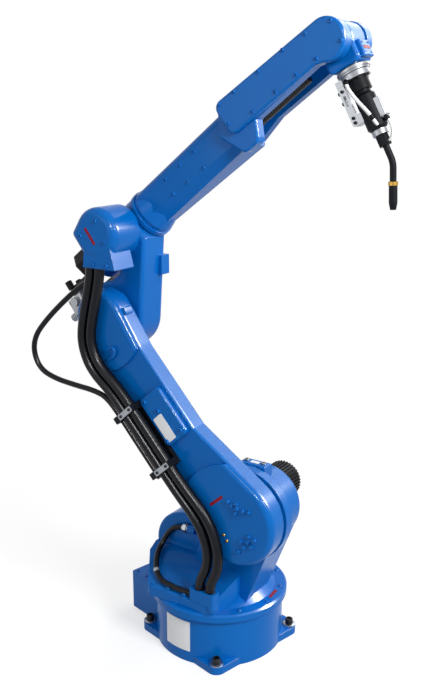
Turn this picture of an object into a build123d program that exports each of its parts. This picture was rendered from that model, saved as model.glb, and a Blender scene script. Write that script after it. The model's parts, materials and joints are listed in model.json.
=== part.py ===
"""Six-axis arc-welding robot arm, standing in a working pose with its torch, wire feeder and conduits.

Frame: +Z up, origin on the floor at the swivel axis, +X away from the connector box of the base.
Arm pieces are drawn in the arm's side view: along and up, with "near" towards its right-hand side.
"""

import os
from math import acos, atan2, cos, hypot, radians, sin

from build123d import *

# Pose of the joints, in degrees
QUARTER_TURN = 90
SWIVEL_TURN = 14
LOWER_ARM_PITCH = 131.8
FOREARM_PITCH = 37.6
TOOL_PITCH = -61.8

# Link lengths, axis to axis
SHOULDER_HEIGHT = 505
SHOULDER_OFFSET = 150
LOWER_ARM_LENGTH = 760
FOREARM_OFFSET = 200
FOREARM_LENGTH = 1082

# Clearances shared by all pieces
JOINT_GAP = 5
SEAT_GAP = 0.3
BEARING_RISE = JOINT_GAP - SEAT_GAP

# Base: a round drum on a square foot plate, with a connector box behind
PLATE_SIDE = 385
PLATE_THICKNESS = 26
PLATE_CORNER = 32
BOLT_SPACING = 335
BOLT_HOLE_RADIUS = 9
DRUM_RADIUS = 212
DRUM_HEIGHT = 158
DRUM_EDGE = 6
BOX_REACH = 304
BOX_NEAR = 143
BOX_FAR = 84
BOX_BOTTOM = 14
BOX_TOP = 147
BOX_CORNER = 14
PANEL_THICKNESS = 4
PANEL_MARGIN = 18
SOCKET_RADIUS = 24
SOCKET_LENGTH = 18
SOCKET_SPACING = 62
SOCKET_COUNT = 3

# Swivel head: a turntable that carries the shoulder housing
RIM_RADIUS = 226
RIM_HEIGHT = 26
TABLE_RADIUS = 186
TABLE_RISE = 34
TABLE_HUB_RADIUS = 142
RIM_CHAMFER = 6
SWIVEL_BEARING_RADIUS = 168
HOUSING_RADIUS = 120
HOUSING_NEAR = 85
HOUSING_FAR = -62
HOUSING_EDGE = 16
COLLAR_RING_RADIUS = 148
COLLAR_RING_DEPTH = 34
SHOULDER_BEARING_RADIUS = 110
HOUSING_NOSE_RADIUS = 94
HOUSING_NOSE_DEPTH = 26
HOUSING_NOSE_TAPER = 24
COLUMN_FRONT_ANGLE = -30
COLUMN_BACK_ANGLE = 150
COLUMN_FOOT_FRONT = 4
COLUMN_FOOT_BACK = 226
SHOULDER_MOTOR_RADIUS = 62
SHOULDER_MOTOR_LENGTH = 74
SHOULDER_MOTOR_EDGE = 8
SHOULDER_MOTOR_RISE = 30
MOTOR_RIB_COUNT = 36
MOTOR_RIB_DEPTH = 5
MOTOR_RIB_WIDTH = 5
STOP_BLOCK_LENGTH = 94
STOP_BLOCK_WIDTH = 44
STOP_BLOCK_HEIGHT = 32
STOP_BLOCK_NEAR = 49
STOP_BLOCK_EDGE = 6
REAR_COVER_BACK = -216
REAR_COVER_FRONT = 132
REAR_COVER_NEAR = 208
REAR_COVER_FAR = -132
REAR_COVER_SKIRT = 30
REAR_COVER_TOP = 300
REAR_COVER_TOP_NEAR = 66
REAR_COVER_EDGE = 10
REAR_COVER_SPLAY = 100
REAR_COVER_FOOT_BACK = -142
REAR_COVER_FOOT_FRONT = 96
DOME_RADIUS = 112
DOME_AXIS_BACK = 104
DOME_AXIS_HEIGHT = 312
DOME_HALF_WIDTH = 60
DOME_EDGE = 12
LEAD_GLAND_BACK = 76
LEAD_GLAND_NEAR = 70
LEAD_GLAND_HEIGHT = 384
LEAD_GLAND_RADIUS = 13
LEAD_GLAND_LENGTH = 28

# Lower arm: one casting on the near side of the shoulder and elbow
ARM_NEAR = 165
ARM_FAR = HOUSING_NEAR + JOINT_GAP
ARM_EDGE = 20
ARM_FAR_EDGE = 8
WEB_RECESS = 10
SHOULDER_BOSS_REACH = 186
ELBOW_BOSS_REACH = 168
SHOULDER_DISC_RADIUS = 144
ELBOW_DISC_RADIUS = 95
NECK_START_SHARE = 0.395
NECK_END_SHARE = 0.79
NECK_START = LOWER_ARM_LENGTH * NECK_START_SHARE
NECK_END = LOWER_ARM_LENGTH * NECK_END_SHARE
NECK_FRONT = 72
NECK_BACK = 93
NECK_ROUND = 160
PAD_START = NECK_START
PAD_LENGTH = 172
PAD_FRONT = 58
PAD_BACK = 38
PAD_THICKNESS = 17
PAD_EDGE = 5
PAD_CORNER = 14

# Elbow: carries the roll drive, its cover and the wire feeder
ELBOW_NEAR = ARM_FAR - JOINT_GAP
ELBOW_FAR = -34
ELBOW_ROUND_RADIUS = 112
ELBOW_EDGE = 12
ELBOW_FAR_EDGE = 22
ELBOW_BEARING_RADIUS = 80
ELBOW_FRONT_ANGLE = -42
COLUMN_BACK = 122
COLUMN_FRONT = 262
COLUMN_GAP_HEIGHT = 30
COLUMN_GAP_ROUND = 24
FRONT_BLOCK_NEAR = 6
FRONT_BLOCK_WIDTH = 40
FRONT_BLOCK_BOTTOM = 136
FRONT_BLOCK_HEIGHT = 62
FRONT_BLOCK_REACH = 138
ROLL_HOUSING_RADIUS = 74
ROLL_HOUSING_BACK = 12
ROLL_FACE = 264
ROLL_BEARING_RADIUS = 62
DRIVE_BOSS_AHEAD = 196
DRIVE_BOSS_RADIUS = 82
DRIVE_BOSS_NEAR = 112
DRIVE_NECK_RADIUS = 67
COVER_DEPTH = 96
SKIRT_BACK = 94
SKIRT_FRONT = 194
SKIRT_RISE = 16
COVER_EDGE = 26
COVER_EAR_AHEAD = 128
COVER_EAR_RISE = 48
COVER_EAR_RADIUS = 14
SKIRT_ROOT = 52
SKIRT_INSET = 2
ROLL_MOTOR_RADIUS = 50
ROLL_MOTOR_LENGTH = 84
ROLL_MOTOR_EDGE = 10
ROLL_MOTOR_RISE = 24
ROLL_MOTOR_SIDES = 8
FEEDER_BACK = 160
FEEDER_FRONT = 92
FEEDER_BOTTOM = 68
FEEDER_TOP = 144
FEEDER_NEAR = 72
FEEDER_FAR = -38
FEEDER_EDGE = 8
FEEDER_PLATE_THICKNESS = 8
FEEDER_PLATE_FRONT = 30
FEEDER_ROLL_RADIUS = 16
FEEDER_ROLL_SPACING = 36
FEEDER_ROLL_WIDTH = 10
FEEDER_MOTOR_RADIUS = 30
FEEDER_MOTOR_LENGTH = 88
LEVER_RADIUS = 6
LEVER_HEIGHT = 60
LEVER_KNOB_RADIUS = 12
LEVER_KNOB_LENGTH = 28
LEVER_NEAR = 44
LEVER_INSET = 24

# Forearm: turns on the elbow's face and ends in a fork
FOREARM_FLANGE_RADIUS = 78
FOREARM_FLANGE_LENGTH = 26
FOREARM_RING_LENGTH = 14
FOREARM_RING_RADIUS = 73
FOREARM_RING_STEP = 3
FOREARM_CONE_LENGTH = 46
BODY_START = 300
BODY_BACK_BEVEL = 40
BODY_FRONT_BEVEL = 22
FOREARM_HALF_HEIGHT = 62
FOREARM_HALF_WIDTH = 72
FOREARM_ROOT_HALF_WIDTH = 62
FOREARM_ROUND = 26
FORK_LENGTH = 370
FORK_SLOT_START = FOREARM_LENGTH - FORK_LENGTH
FORK_INNER = 48
FORK_OUTER = 84
FORK_NOSE_RADIUS = 54
FORK_BACK_TOP = 72
FORK_BACK_BOTTOM = 50
FORK_WAIST_BACK = 62
FORK_WAIST_BOTTOM = 31
FORK_EDGE = 6
SADDLE_OVERLAP = 42
SADDLE_BOTTOM = 84
SADDLE_LENGTH = 56
SADDLE_TOE = 84
SADDLE_ROUND = 22
FAR_ARM_BOTTOM = 26
SIDE_COVER_LENGTH = 372
SIDE_COVER_TOP = 80
SIDE_COVER_BOTTOM = 25
SIDE_COVER_NOSE_RADIUS = 57
SIDE_COVER_WAIST_BOTTOM = 34
SIDE_COVER_THICKNESS = 13
SIDE_COVER_ROUND = 24
SIDE_COVER_EDGE = 7
TORCH_CONDUIT_RADIUS = 17
TORCH_CONDUIT_DROP = 12

# Wrist
WRIST_HALF_WIDTH = FORK_INNER - JOINT_GAP
WRIST_RADIUS = 52
WRIST_REACH = 76
WRIST_FRONT = 46
WRIST_BACK = 50
WRIST_ROUND = 14
WRIST_EDGE = 8
WRIST_BEARING_RADIUS = 34
WRIST_CAP_START = 26
WRIST_CAP_LENGTH = 46
WRIST_CAP_HALF_WIDTH = 28
WRIST_CAP_THICKNESS = 12
WRIST_CAP_EDGE = 5

# Tool flange and welding torch, along the tool axis
FLANGE_RADIUS = 46
FLANGE_THICKNESS = 12
FLANGE_BEARING_RADIUS = 32
FLANGE_LIP = 7
FLANGE_FACE_RADIUS = 42
ADAPTER_RADIUS = 39
ADAPTER_THICKNESS = 16
ADAPTER_EDGE = 2
SENSOR_RADIUS = 28
SENSOR_LENGTH = 34
BRACKET_BACK = 34
BRACKET_WIDTH = 20
BRACKET_LENGTH = 110
BRACKET_NEAR = 20
BRACKET_DEPTH = 40
BRACKET_CLAMP_LENGTH = 26
BRACKET_CORNER = 4
BRACKET_WINDOW_START = 42
BRACKET_WINDOW_LENGTH = 26
BRACKET_WINDOW_WIDTH = 8
TORCH_RADIUS = 28
TORCH_WAIST_RADIUS = 21
TORCH_SHOULDER = 8
TORCH_BODY_LENGTH = 112
TORCH_BLOCK_START = 34
TORCH_BLOCK_LENGTH = 52
TORCH_BLOCK_WIDTH = 30
TORCH_BLOCK_RISE = 12
TORCH_BLOCK_EDGE = 4
COLLAR_RADIUS = 22
COLLAR_LENGTH = 14
TORCH_SOCKET_RADIUS = 18
TORCH_SOCKET_SIDES = 8
TORCH_SOCKET_LENGTH = 30
TORCH_NECK_RADIUS = 9
TORCH_NECK_RUN = 48
TORCH_NECK_BEND = 25
TORCH_NECK_BEND_RADIUS = 70
TORCH_NECK_OUTRUN = 50
NOZZLE_RING_RADIUS = 13
NOZZLE_RING_LENGTH = 10
NOZZLE_RADIUS = 11.5
NOZZLE_MOUTH_RADIUS = 8
NOZZLE_LENGTH = 64
NOZZLE_TAPER_LENGTH = 18
NOZZLE_WALL = 2
TIP_RADIUS = 4
TIP_RECESS = 3

# Conduits and leads, with the clamps that hold them
CONDUIT_RADIUS = 16
CONDUIT_BEND = 44
LEAD_RADIUS = 9
LEAD_BEND = 36
CONDUIT_NEAR = 188
FRONT_CONDUIT_OFFSET = 60
REAR_CONDUIT_OFFSET = 96
LEAD_OFFSET = 122
CLAMP_LENGTH = 22
CLAMP_WALL = 4
CLAMP_FRONT = FRONT_CONDUIT_OFFSET - CONDUIT_RADIUS - CLAMP_WALL
CLAMP_WIDTH = LEAD_OFFSET + LEAD_RADIUS + CLAMP_WALL - CLAMP_FRONT
CLAMP_FOOT = ARM_NEAR - WEB_RECESS
CLAMP_HEIGHT = CONDUIT_NEAR + CONDUIT_RADIUS + CLAMP_WALL - CLAMP_FOOT
CLAMP_LOWER_SHARE = 0.321
CLAMP_UPPER_SHARE = 0.597
CLAMP_LOWER_REACH = LOWER_ARM_LENGTH * CLAMP_LOWER_SHARE
CLAMP_UPPER_REACH = LOWER_ARM_LENGTH * CLAMP_UPPER_SHARE
CLAMP_OVERHANG = 6
CLAMP_RUN = 60
HELD_START = CLAMP_LOWER_REACH - CLAMP_OVERHANG
HELD_END = CLAMP_UPPER_REACH + CLAMP_LENGTH + CLAMP_OVERHANG
REAR_FOOT_AHEAD = -100
FRONT_FOOT_AHEAD = -62
REAR_SKIRT_AHEAD = 121.6
FRONT_SKIRT_AHEAD = 157.6
LEAD_SKIRT_AHEAD = 126.6
LEAD_SKIRT_NEAR = 150
SKIRT_RUN = 31
SWIVEL_LEAD_BEND = 22
TRAY_THICKNESS = 14
GLAND_TOP = 262
GLAND_BACK = 20
GLAND_LENGTH = 92
GLAND_NEAR = 208
GLAND_FAR = 168
GLAND_DROP = 60
GLAND_CORNER = 8

SWIVEL_FRAME = Plane.XY.rotated((0, 0, SWIVEL_TURN))
NEAR_SIDE = SWIVEL_FRAME.y_dir * -1
TABLE_FLOOR = DRUM_HEIGHT + JOINT_GAP
TABLE_TOP = TABLE_FLOOR + RIM_HEIGHT + TABLE_RISE


def arm_point(ahead, near, height):
    """A point of the turned arm, from the swivel axis at floor level."""
    return SWIVEL_FRAME.from_local_coords(Vector(ahead, -near, height))


def heading(pitch):
    """Direction in the arm's side view, at a pitch above level."""
    return SWIVEL_FRAME.x_dir * cos(radians(pitch)) + SWIVEL_FRAME.z_dir * sin(radians(pitch))


def side_plane(joint, pitch, near=0):
    """Side view of a link: local x along the link, local z towards the near side."""
    return Plane(origin=joint + NEAR_SIDE * near, x_dir=heading(pitch), z_dir=NEAR_SIDE)


def cross_plane(joint, pitch, reach=0):
    """Cut across a link: local x up from it, local y towards the near side, local z along it."""
    across = heading(pitch + QUARTER_TURN)
    return Plane(origin=joint + heading(pitch) * reach, x_dir=across, z_dir=heading(pitch))


def round_point(radius, angle):
    """Point of a circle at the origin, at an angle in degrees."""
    return (radius * cos(radians(angle)), radius * sin(radians(angle)))


def tangent_point(radius, along, offset):
    """Where the line from (along, offset) touches a circle at the origin, on the side of offset."""
    spread = acos(radius / hypot(along, offset))
    toward = atan2(offset, along)
    turn = toward + spread if offset > 0 else toward - spread
    return (radius * cos(turn), radius * sin(turn))


def mirrored_tangent(radius, centre, along, offset):
    """The same touch on a circle whose centre lies further along than the point."""
    reach, height = tangent_point(radius, centre - along, offset)
    return (centre - reach, height)


def save(builder, name):
    builder.part.label = name
    export_step(builder.part, f"parts/{name}.step")


SHOULDER = arm_point(SHOULDER_OFFSET, 0, SHOULDER_HEIGHT)
ELBOW = SHOULDER + heading(LOWER_ARM_PITCH) * LOWER_ARM_LENGTH
ROLL_FOOT = ELBOW + heading(FOREARM_PITCH + QUARTER_TURN) * FOREARM_OFFSET
WRIST = ROLL_FOOT + heading(FOREARM_PITCH) * FOREARM_LENGTH
TO_NEAR = Axis(SHOULDER, NEAR_SIDE)

os.makedirs("parts", exist_ok=True)

# Base

with BuildPart() as base_casting:
    with BuildSketch():
        Rectangle(PLATE_SIDE, PLATE_SIDE)
        fillet(vertices(), PLATE_CORNER)
    extrude(amount=PLATE_THICKNESS)
    with BuildSketch():
        Circle(DRUM_RADIUS)
    extrude(amount=DRUM_HEIGHT)
    fillet(edges().group_by(Axis.Z)[-1], DRUM_EDGE)
    with BuildSketch():
        with GridLocations(BOLT_SPACING, BOLT_SPACING, 2, 2):
            Circle(BOLT_HOLE_RADIUS)
    extrude(amount=PLATE_THICKNESS, mode=Mode.SUBTRACT)
save(base_casting, "base_casting")

with BuildPart() as connector_box:
    with BuildSketch(Plane(origin=(-BOX_REACH, -BOX_NEAR, BOX_BOTTOM))):
        Rectangle(BOX_REACH, BOX_NEAR + BOX_FAR, align=Align.MIN)
    extrude(amount=BOX_TOP - BOX_BOTTOM)
    fillet(edges().filter_by(Axis.Z).group_by(Axis.X)[0], BOX_CORNER)
    with BuildSketch():
        Circle(DRUM_RADIUS + SEAT_GAP)
        Rectangle(DRUM_RADIUS, DRUM_RADIUS * 2, align=(Align.MIN, Align.CENTER))
    extrude(amount=DRUM_HEIGHT, mode=Mode.SUBTRACT)
    with BuildSketch():
        Rectangle(PLATE_SIDE + SEAT_GAP, PLATE_SIDE + SEAT_GAP)
    extrude(amount=PLATE_THICKNESS + SEAT_GAP, mode=Mode.SUBTRACT)
save(connector_box, "connector_box")

with BuildPart() as connector_panel:
    panel_middle = (-BOX_REACH, (BOX_FAR - BOX_NEAR) / 2, (BOX_TOP + BOX_BOTTOM) / 2)
    with BuildSketch(Plane(origin=panel_middle, x_dir=(0, 1, 0), z_dir=(-1, 0, 0))):
        RectangleRounded(
            BOX_NEAR + BOX_FAR - PANEL_MARGIN * 2, BOX_TOP - BOX_BOTTOM - PANEL_MARGIN * 2, BOX_CORNER
        )
    extrude(amount=PANEL_THICKNESS)
    with BuildSketch(Plane(origin=panel_middle, x_dir=(0, 1, 0), z_dir=(-1, 0, 0))):
        with GridLocations(SOCKET_SPACING, 0, SOCKET_COUNT, 1):
            Circle(SOCKET_RADIUS)
    extrude(amount=PANEL_THICKNESS + SOCKET_LENGTH)
save(connector_panel, "connector_panel")

# Swivel head

with BuildPart() as swivel_casting:
    with BuildSketch(side_plane(SHOULDER, 0, HOUSING_FAR)):
        Circle(HOUSING_RADIUS)
        foot = TABLE_TOP - SHOULDER_HEIGHT - TABLE_RISE
        Polygon(
            round_point(HOUSING_RADIUS, COLUMN_FRONT_ANGLE),
            (COLUMN_FOOT_FRONT, foot),
            (-COLUMN_FOOT_BACK, foot),
            round_point(HOUSING_RADIUS, COLUMN_BACK_ANGLE),
            align=None,
        )
    extrude(amount=HOUSING_NEAR - HOUSING_FAR)
    fillet(faces().sort_by(TO_NEAR)[0].edges(), HOUSING_EDGE)
    with BuildSketch(side_plane(SHOULDER, 0, HOUSING_NEAR)):
        Circle(COLLAR_RING_RADIUS)
    extrude(amount=-COLLAR_RING_DEPTH)
    with BuildSketch(side_plane(SHOULDER, 0, HOUSING_FAR)):
        Circle(HOUSING_NOSE_RADIUS)
    extrude(amount=-HOUSING_NOSE_DEPTH, taper=HOUSING_NOSE_TAPER)
    with BuildSketch(Plane.XZ):
        Polygon(
            (0, TABLE_FLOOR),
            (RIM_RADIUS, TABLE_FLOOR),
            (RIM_RADIUS, TABLE_FLOOR + RIM_HEIGHT),
            (TABLE_RADIUS, TABLE_FLOOR + RIM_HEIGHT),
            (TABLE_HUB_RADIUS, TABLE_TOP),
            (0, TABLE_TOP),
            align=None,
        )
        chamfer(vertices().group_by(Axis.X)[-1].sort_by(Axis.Y)[-1], RIM_CHAMFER)
    revolve(axis=Axis.Z)
    with BuildSketch(Plane.XY.offset(TABLE_FLOOR)):
        Circle(SWIVEL_BEARING_RADIUS)
    extrude(amount=-BEARING_RISE)
    with BuildSketch(side_plane(SHOULDER, 0, HOUSING_NEAR)):
        Circle(SHOULDER_BEARING_RADIUS)
    extrude(amount=BEARING_RISE)
save(swivel_casting, "swivel_casting")

with BuildPart() as swivel_rear_cover:
    with BuildSketch(cross_plane(arm_point(0, 0, 0), 0, REAR_COVER_BACK)):
        Polygon(
            (TABLE_FLOOR + RIM_HEIGHT, REAR_COVER_NEAR),
            (TABLE_FLOOR + RIM_HEIGHT + REAR_COVER_SKIRT, REAR_COVER_NEAR),
            (REAR_COVER_TOP, REAR_COVER_TOP_NEAR),
            (REAR_COVER_TOP, REAR_COVER_FAR),
            (TABLE_FLOOR + RIM_HEIGHT, REAR_COVER_FAR),
            align=None,
        )
    extrude(amount=REAR_COVER_FRONT - REAR_COVER_BACK)
    with BuildSketch(SWIVEL_FRAME):
        Polygon(
            (REAR_COVER_BACK, -REAR_COVER_SPLAY),
            (REAR_COVER_FOOT_BACK, -REAR_COVER_NEAR),
            (REAR_COVER_FOOT_FRONT, -REAR_COVER_NEAR),
            (REAR_COVER_FRONT, -REAR_COVER_SPLAY),
            (REAR_COVER_FRONT, -REAR_COVER_FAR),
            (REAR_COVER_BACK, -REAR_COVER_FAR),
            align=None,
        )
    extrude(amount=REAR_COVER_TOP, mode=Mode.INTERSECT)
    fillet(edges().filter_by(Axis.Z).sort_by(TO_NEAR)[-2:], REAR_COVER_EDGE)
    add(swivel_casting.part, mode=Mode.SUBTRACT)
save(swivel_rear_cover, "swivel_rear_cover")

with BuildPart() as swivel_motor_dome:
    with BuildSketch(side_plane(arm_point(-DOME_AXIS_BACK, 0, DOME_AXIS_HEIGHT), 0, -DOME_HALF_WIDTH)):
        Circle(DOME_RADIUS)
    extrude(amount=DOME_HALF_WIDTH * 2)
    fillet(edges(), DOME_EDGE)
    with BuildSketch(cross_plane(arm_point(-LEAD_GLAND_BACK, LEAD_GLAND_NEAR, LEAD_GLAND_HEIGHT), 0)):
        Circle(LEAD_GLAND_RADIUS)
    extrude(amount=LEAD_GLAND_LENGTH)
    add(swivel_casting.part, mode=Mode.SUBTRACT)
    add(swivel_rear_cover.part, mode=Mode.SUBTRACT)
save(swivel_motor_dome, "swivel_motor_dome")

motor_axis = SHOULDER + SWIVEL_FRAME.z_dir * SHOULDER_MOTOR_RISE
motor_core = SHOULDER_MOTOR_RADIUS - MOTOR_RIB_DEPTH
with BuildPart() as shoulder_motor:
    with BuildSketch(side_plane(motor_axis, 0, HOUSING_FAR - HOUSING_NOSE_DEPTH)):
        Circle(motor_core)
        with PolarLocations(motor_core, MOTOR_RIB_COUNT):
            Rectangle(MOTOR_RIB_DEPTH * 2, MOTOR_RIB_WIDTH)
    extrude(amount=-SHOULDER_MOTOR_LENGTH)
    with BuildSketch(side_plane(motor_axis, 0, HOUSING_FAR - HOUSING_NOSE_DEPTH - SHOULDER_MOTOR_LENGTH)):
        Circle(motor_core)
    extrude(amount=-SHOULDER_MOTOR_EDGE)
    chamfer(faces().sort_by(TO_NEAR)[0].edges(), SHOULDER_MOTOR_EDGE / 2)
save(shoulder_motor, "shoulder_motor")

with BuildPart() as shoulder_stop_block:
    with BuildSketch(side_plane(SHOULDER, 0, STOP_BLOCK_NEAR)):
        Rectangle(STOP_BLOCK_LENGTH, HOUSING_RADIUS + STOP_BLOCK_HEIGHT, align=(Align.CENTER, Align.MIN))
    extrude(amount=-STOP_BLOCK_WIDTH)
    fillet(faces().sort_by(Axis.Z)[-1].edges(), STOP_BLOCK_EDGE)
    add(swivel_casting.part, mode=Mode.SUBTRACT)
save(shoulder_stop_block, "shoulder_stop_block")

# Lower arm

with BuildPart() as lower_arm_casting:
    with BuildSketch(side_plane(SHOULDER, LOWER_ARM_PITCH, ARM_FAR)) as arm_outline:
        Polygon(
            tangent_point(SHOULDER_DISC_RADIUS, NECK_START, -NECK_FRONT),
            (NECK_START, -NECK_FRONT),
            (NECK_END, -NECK_FRONT),
            mirrored_tangent(ELBOW_DISC_RADIUS, LOWER_ARM_LENGTH, NECK_END, -NECK_FRONT),
            mirrored_tangent(ELBOW_DISC_RADIUS, LOWER_ARM_LENGTH, NECK_END, NECK_BACK),
            (NECK_END, NECK_BACK),
            (NECK_START, NECK_BACK),
            tangent_point(SHOULDER_DISC_RADIUS, NECK_START, NECK_BACK),
            align=None,
        )
        neck = [v for v in vertices() if NECK_START <= round(v.X) <= NECK_END]
        fillet(neck, NECK_ROUND)
        Circle(SHOULDER_DISC_RADIUS)
        with Locations((LOWER_ARM_LENGTH, 0)):
            Circle(ELBOW_DISC_RADIUS)
    extrude(amount=ARM_NEAR - ARM_FAR)
    fillet(faces().sort_by(TO_NEAR)[-1].edges(), ARM_EDGE)
    fillet(faces().sort_by(TO_NEAR)[0].edges(), ARM_FAR_EDGE)
    with BuildSketch(side_plane(SHOULDER, LOWER_ARM_PITCH, ARM_NEAR)):
        Rectangle(LOWER_ARM_LENGTH, SHOULDER_DISC_RADIUS * 2, align=(Align.MIN, Align.CENTER))
        Circle(SHOULDER_BOSS_REACH, mode=Mode.SUBTRACT)
        with Locations((LOWER_ARM_LENGTH, 0)):
            Circle(ELBOW_BOSS_REACH, mode=Mode.SUBTRACT)
    extrude(amount=-WEB_RECESS, mode=Mode.SUBTRACT)
save(lower_arm_casting, "lower_arm_casting")

with BuildPart() as lower_arm_pad:
    with BuildSketch(side_plane(SHOULDER, LOWER_ARM_PITCH, ARM_NEAR - WEB_RECESS)):
        with Locations((PAD_START, -PAD_FRONT)):
            Rectangle(PAD_LENGTH, PAD_FRONT + PAD_BACK, align=Align.MIN)
        fillet(vertices(), PAD_CORNER)
    extrude(amount=PAD_THICKNESS)
    fillet(faces().sort_by(TO_NEAR)[-1].edges(), PAD_EDGE)
save(lower_arm_pad, "lower_arm_pad")

# Elbow

with BuildPart() as elbow_casting:
    with BuildSketch(side_plane(ELBOW, FOREARM_PITCH, ELBOW_FAR)):
        Circle(ELBOW_ROUND_RADIUS)
        shelf = FOREARM_OFFSET - ROLL_HOUSING_RADIUS
        Polygon(
            (0, 0),
            round_point(ELBOW_ROUND_RADIUS, ELBOW_FRONT_ANGLE),
            (COLUMN_FRONT, shelf),
            (COLUMN_FRONT, FOREARM_OFFSET),
            (COLUMN_BACK, FOREARM_OFFSET),
            (COLUMN_BACK, shelf - COLUMN_GAP_HEIGHT),
            (0, shelf - COLUMN_GAP_HEIGHT),
            align=None,
        )
        fillet(vertices().sort_by_distance((COLUMN_BACK, shelf - COLUMN_GAP_HEIGHT))[0], COLUMN_GAP_ROUND)
    extrude(amount=ELBOW_NEAR - ELBOW_FAR)
    fillet(faces().sort_by(TO_NEAR)[0].edges(), ELBOW_FAR_EDGE)
    fillet(faces().sort_by(TO_NEAR)[-1].edges(), ELBOW_EDGE)
    with BuildSketch(side_plane(ELBOW, 0, FRONT_BLOCK_NEAR)):
        with Locations((0, FRONT_BLOCK_BOTTOM)):
            Rectangle(FRONT_BLOCK_REACH, FRONT_BLOCK_HEIGHT, align=Align.MIN)
    extrude(amount=-FRONT_BLOCK_WIDTH)
    with BuildSketch(cross_plane(ROLL_FOOT, FOREARM_PITCH, ROLL_HOUSING_BACK)):
        Circle(ROLL_HOUSING_RADIUS)
    extrude(amount=ROLL_FACE - ROLL_HOUSING_BACK)
    with BuildSketch(side_plane(ROLL_FOOT, FOREARM_PITCH)):
        with Locations((DRIVE_BOSS_AHEAD, 0)):
            Circle(DRIVE_NECK_RADIUS)
    extrude(amount=DRIVE_BOSS_NEAR)
    with BuildSketch(side_plane(ROLL_FOOT, FOREARM_PITCH, ELBOW_NEAR)):
        with Locations((DRIVE_BOSS_AHEAD, 0)):
            Circle(DRIVE_BOSS_RADIUS)
    extrude(amount=DRIVE_BOSS_NEAR - ELBOW_NEAR)
    with BuildSketch(cross_plane(ROLL_FOOT, FOREARM_PITCH, ROLL_FACE)):
        Circle(ROLL_BEARING_RADIUS)
    extrude(amount=BEARING_RISE)
    with BuildSketch(side_plane(ELBOW, FOREARM_PITCH, ELBOW_NEAR)):
        Circle(ELBOW_BEARING_RADIUS)
    extrude(amount=BEARING_RISE)
save(elbow_casting, "elbow_casting")


def skirt_edge(along):
    """Height across the forearm of the cover's level lower edge, at a reach along it."""
    return (SKIRT_RISE - along * sin(radians(FOREARM_PITCH))) / cos(radians(FOREARM_PITCH))


with BuildPart() as elbow_cover:
    with BuildSketch(side_plane(ROLL_FOOT, FOREARM_PITCH, DRIVE_BOSS_NEAR)):
        with Locations((DRIVE_BOSS_AHEAD, 0)):
            Circle(DRIVE_BOSS_RADIUS)
        with Locations((COVER_EAR_AHEAD, COVER_EAR_RISE)):
            Circle(COVER_EAR_RADIUS)
        make_hull()
    extrude(amount=COVER_DEPTH)
    fillet(faces().sort_by(TO_NEAR)[-1].edges(), COVER_EDGE)
    with BuildSketch(side_plane(ROLL_FOOT, FOREARM_PITCH, DRIVE_BOSS_NEAR)):
        Polygon(
            (SKIRT_BACK, skirt_edge(SKIRT_BACK)),
            (SKIRT_FRONT, skirt_edge(SKIRT_FRONT)),
            (DRIVE_BOSS_AHEAD + SKIRT_ROOT, 0),
            (DRIVE_BOSS_AHEAD - SKIRT_ROOT, 0),
            align=None,
        )
    extrude(amount=COVER_DEPTH - SKIRT_INSET)
save(elbow_cover, "elbow_cover")

with BuildPart() as roll_motor:
    with BuildSketch(cross_plane(ROLL_FOOT, FOREARM_PITCH, ROLL_HOUSING_BACK)):
        with Locations((ROLL_MOTOR_RISE, 0)):
            RegularPolygon(ROLL_MOTOR_RADIUS, ROLL_MOTOR_SIDES)
    extrude(amount=-ROLL_MOTOR_LENGTH)
    fillet(faces().sort_by(Axis(ROLL_FOOT, heading(FOREARM_PITCH)))[0].edges(), ROLL_MOTOR_EDGE)
save(roll_motor, "roll_motor")

with BuildPart() as feeder_plate:
    with BuildSketch(side_plane(ELBOW, FOREARM_PITCH, FEEDER_FAR)):
        Polygon(
            (-FEEDER_BACK, FEEDER_BOTTOM),
            (-FEEDER_BACK, FEEDER_TOP),
            (FEEDER_PLATE_FRONT, FEEDER_TOP),
            (FEEDER_PLATE_FRONT, FEEDER_BOTTOM),
            align=None,
        )
        Circle(ELBOW_ROUND_RADIUS, mode=Mode.SUBTRACT)
    extrude(amount=-FEEDER_PLATE_THICKNESS)
    add(elbow_casting.part, mode=Mode.SUBTRACT)
    add(roll_motor.part, mode=Mode.SUBTRACT)
save(feeder_plate, "feeder_plate")

feeder_middle = ELBOW + heading(FOREARM_PITCH) * (-(FEEDER_BACK + FEEDER_FRONT) / 2)
feeder_middle += heading(FOREARM_PITCH + QUARTER_TURN) * ((FEEDER_BOTTOM + FEEDER_TOP) / 2)
with BuildPart() as feeder_body:
    with BuildSketch(side_plane(ELBOW, FOREARM_PITCH, FEEDER_FAR)):
        with Locations((-FEEDER_BACK, FEEDER_BOTTOM)):
            Rectangle(FEEDER_BACK - FEEDER_FRONT, FEEDER_TOP - FEEDER_BOTTOM, align=Align.MIN)
    extrude(amount=FEEDER_NEAR - FEEDER_FAR)
    fillet(faces().sort_by(TO_NEAR)[-1].edges(), FEEDER_EDGE)
    with BuildSketch(side_plane(feeder_middle, FOREARM_PITCH, FEEDER_NEAR)):
        with GridLocations(0, FEEDER_ROLL_SPACING, 1, 2):
            Circle(FEEDER_ROLL_RADIUS)
    extrude(amount=FEEDER_ROLL_WIDTH)
save(feeder_body, "feeder_body")

with BuildPart() as feeder_motor:
    with BuildSketch(side_plane(feeder_middle, FOREARM_PITCH, FEEDER_FAR - FEEDER_PLATE_THICKNESS)):
        Circle(FEEDER_MOTOR_RADIUS)
    extrude(amount=-FEEDER_MOTOR_LENGTH)
save(feeder_motor, "feeder_motor")

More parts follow.
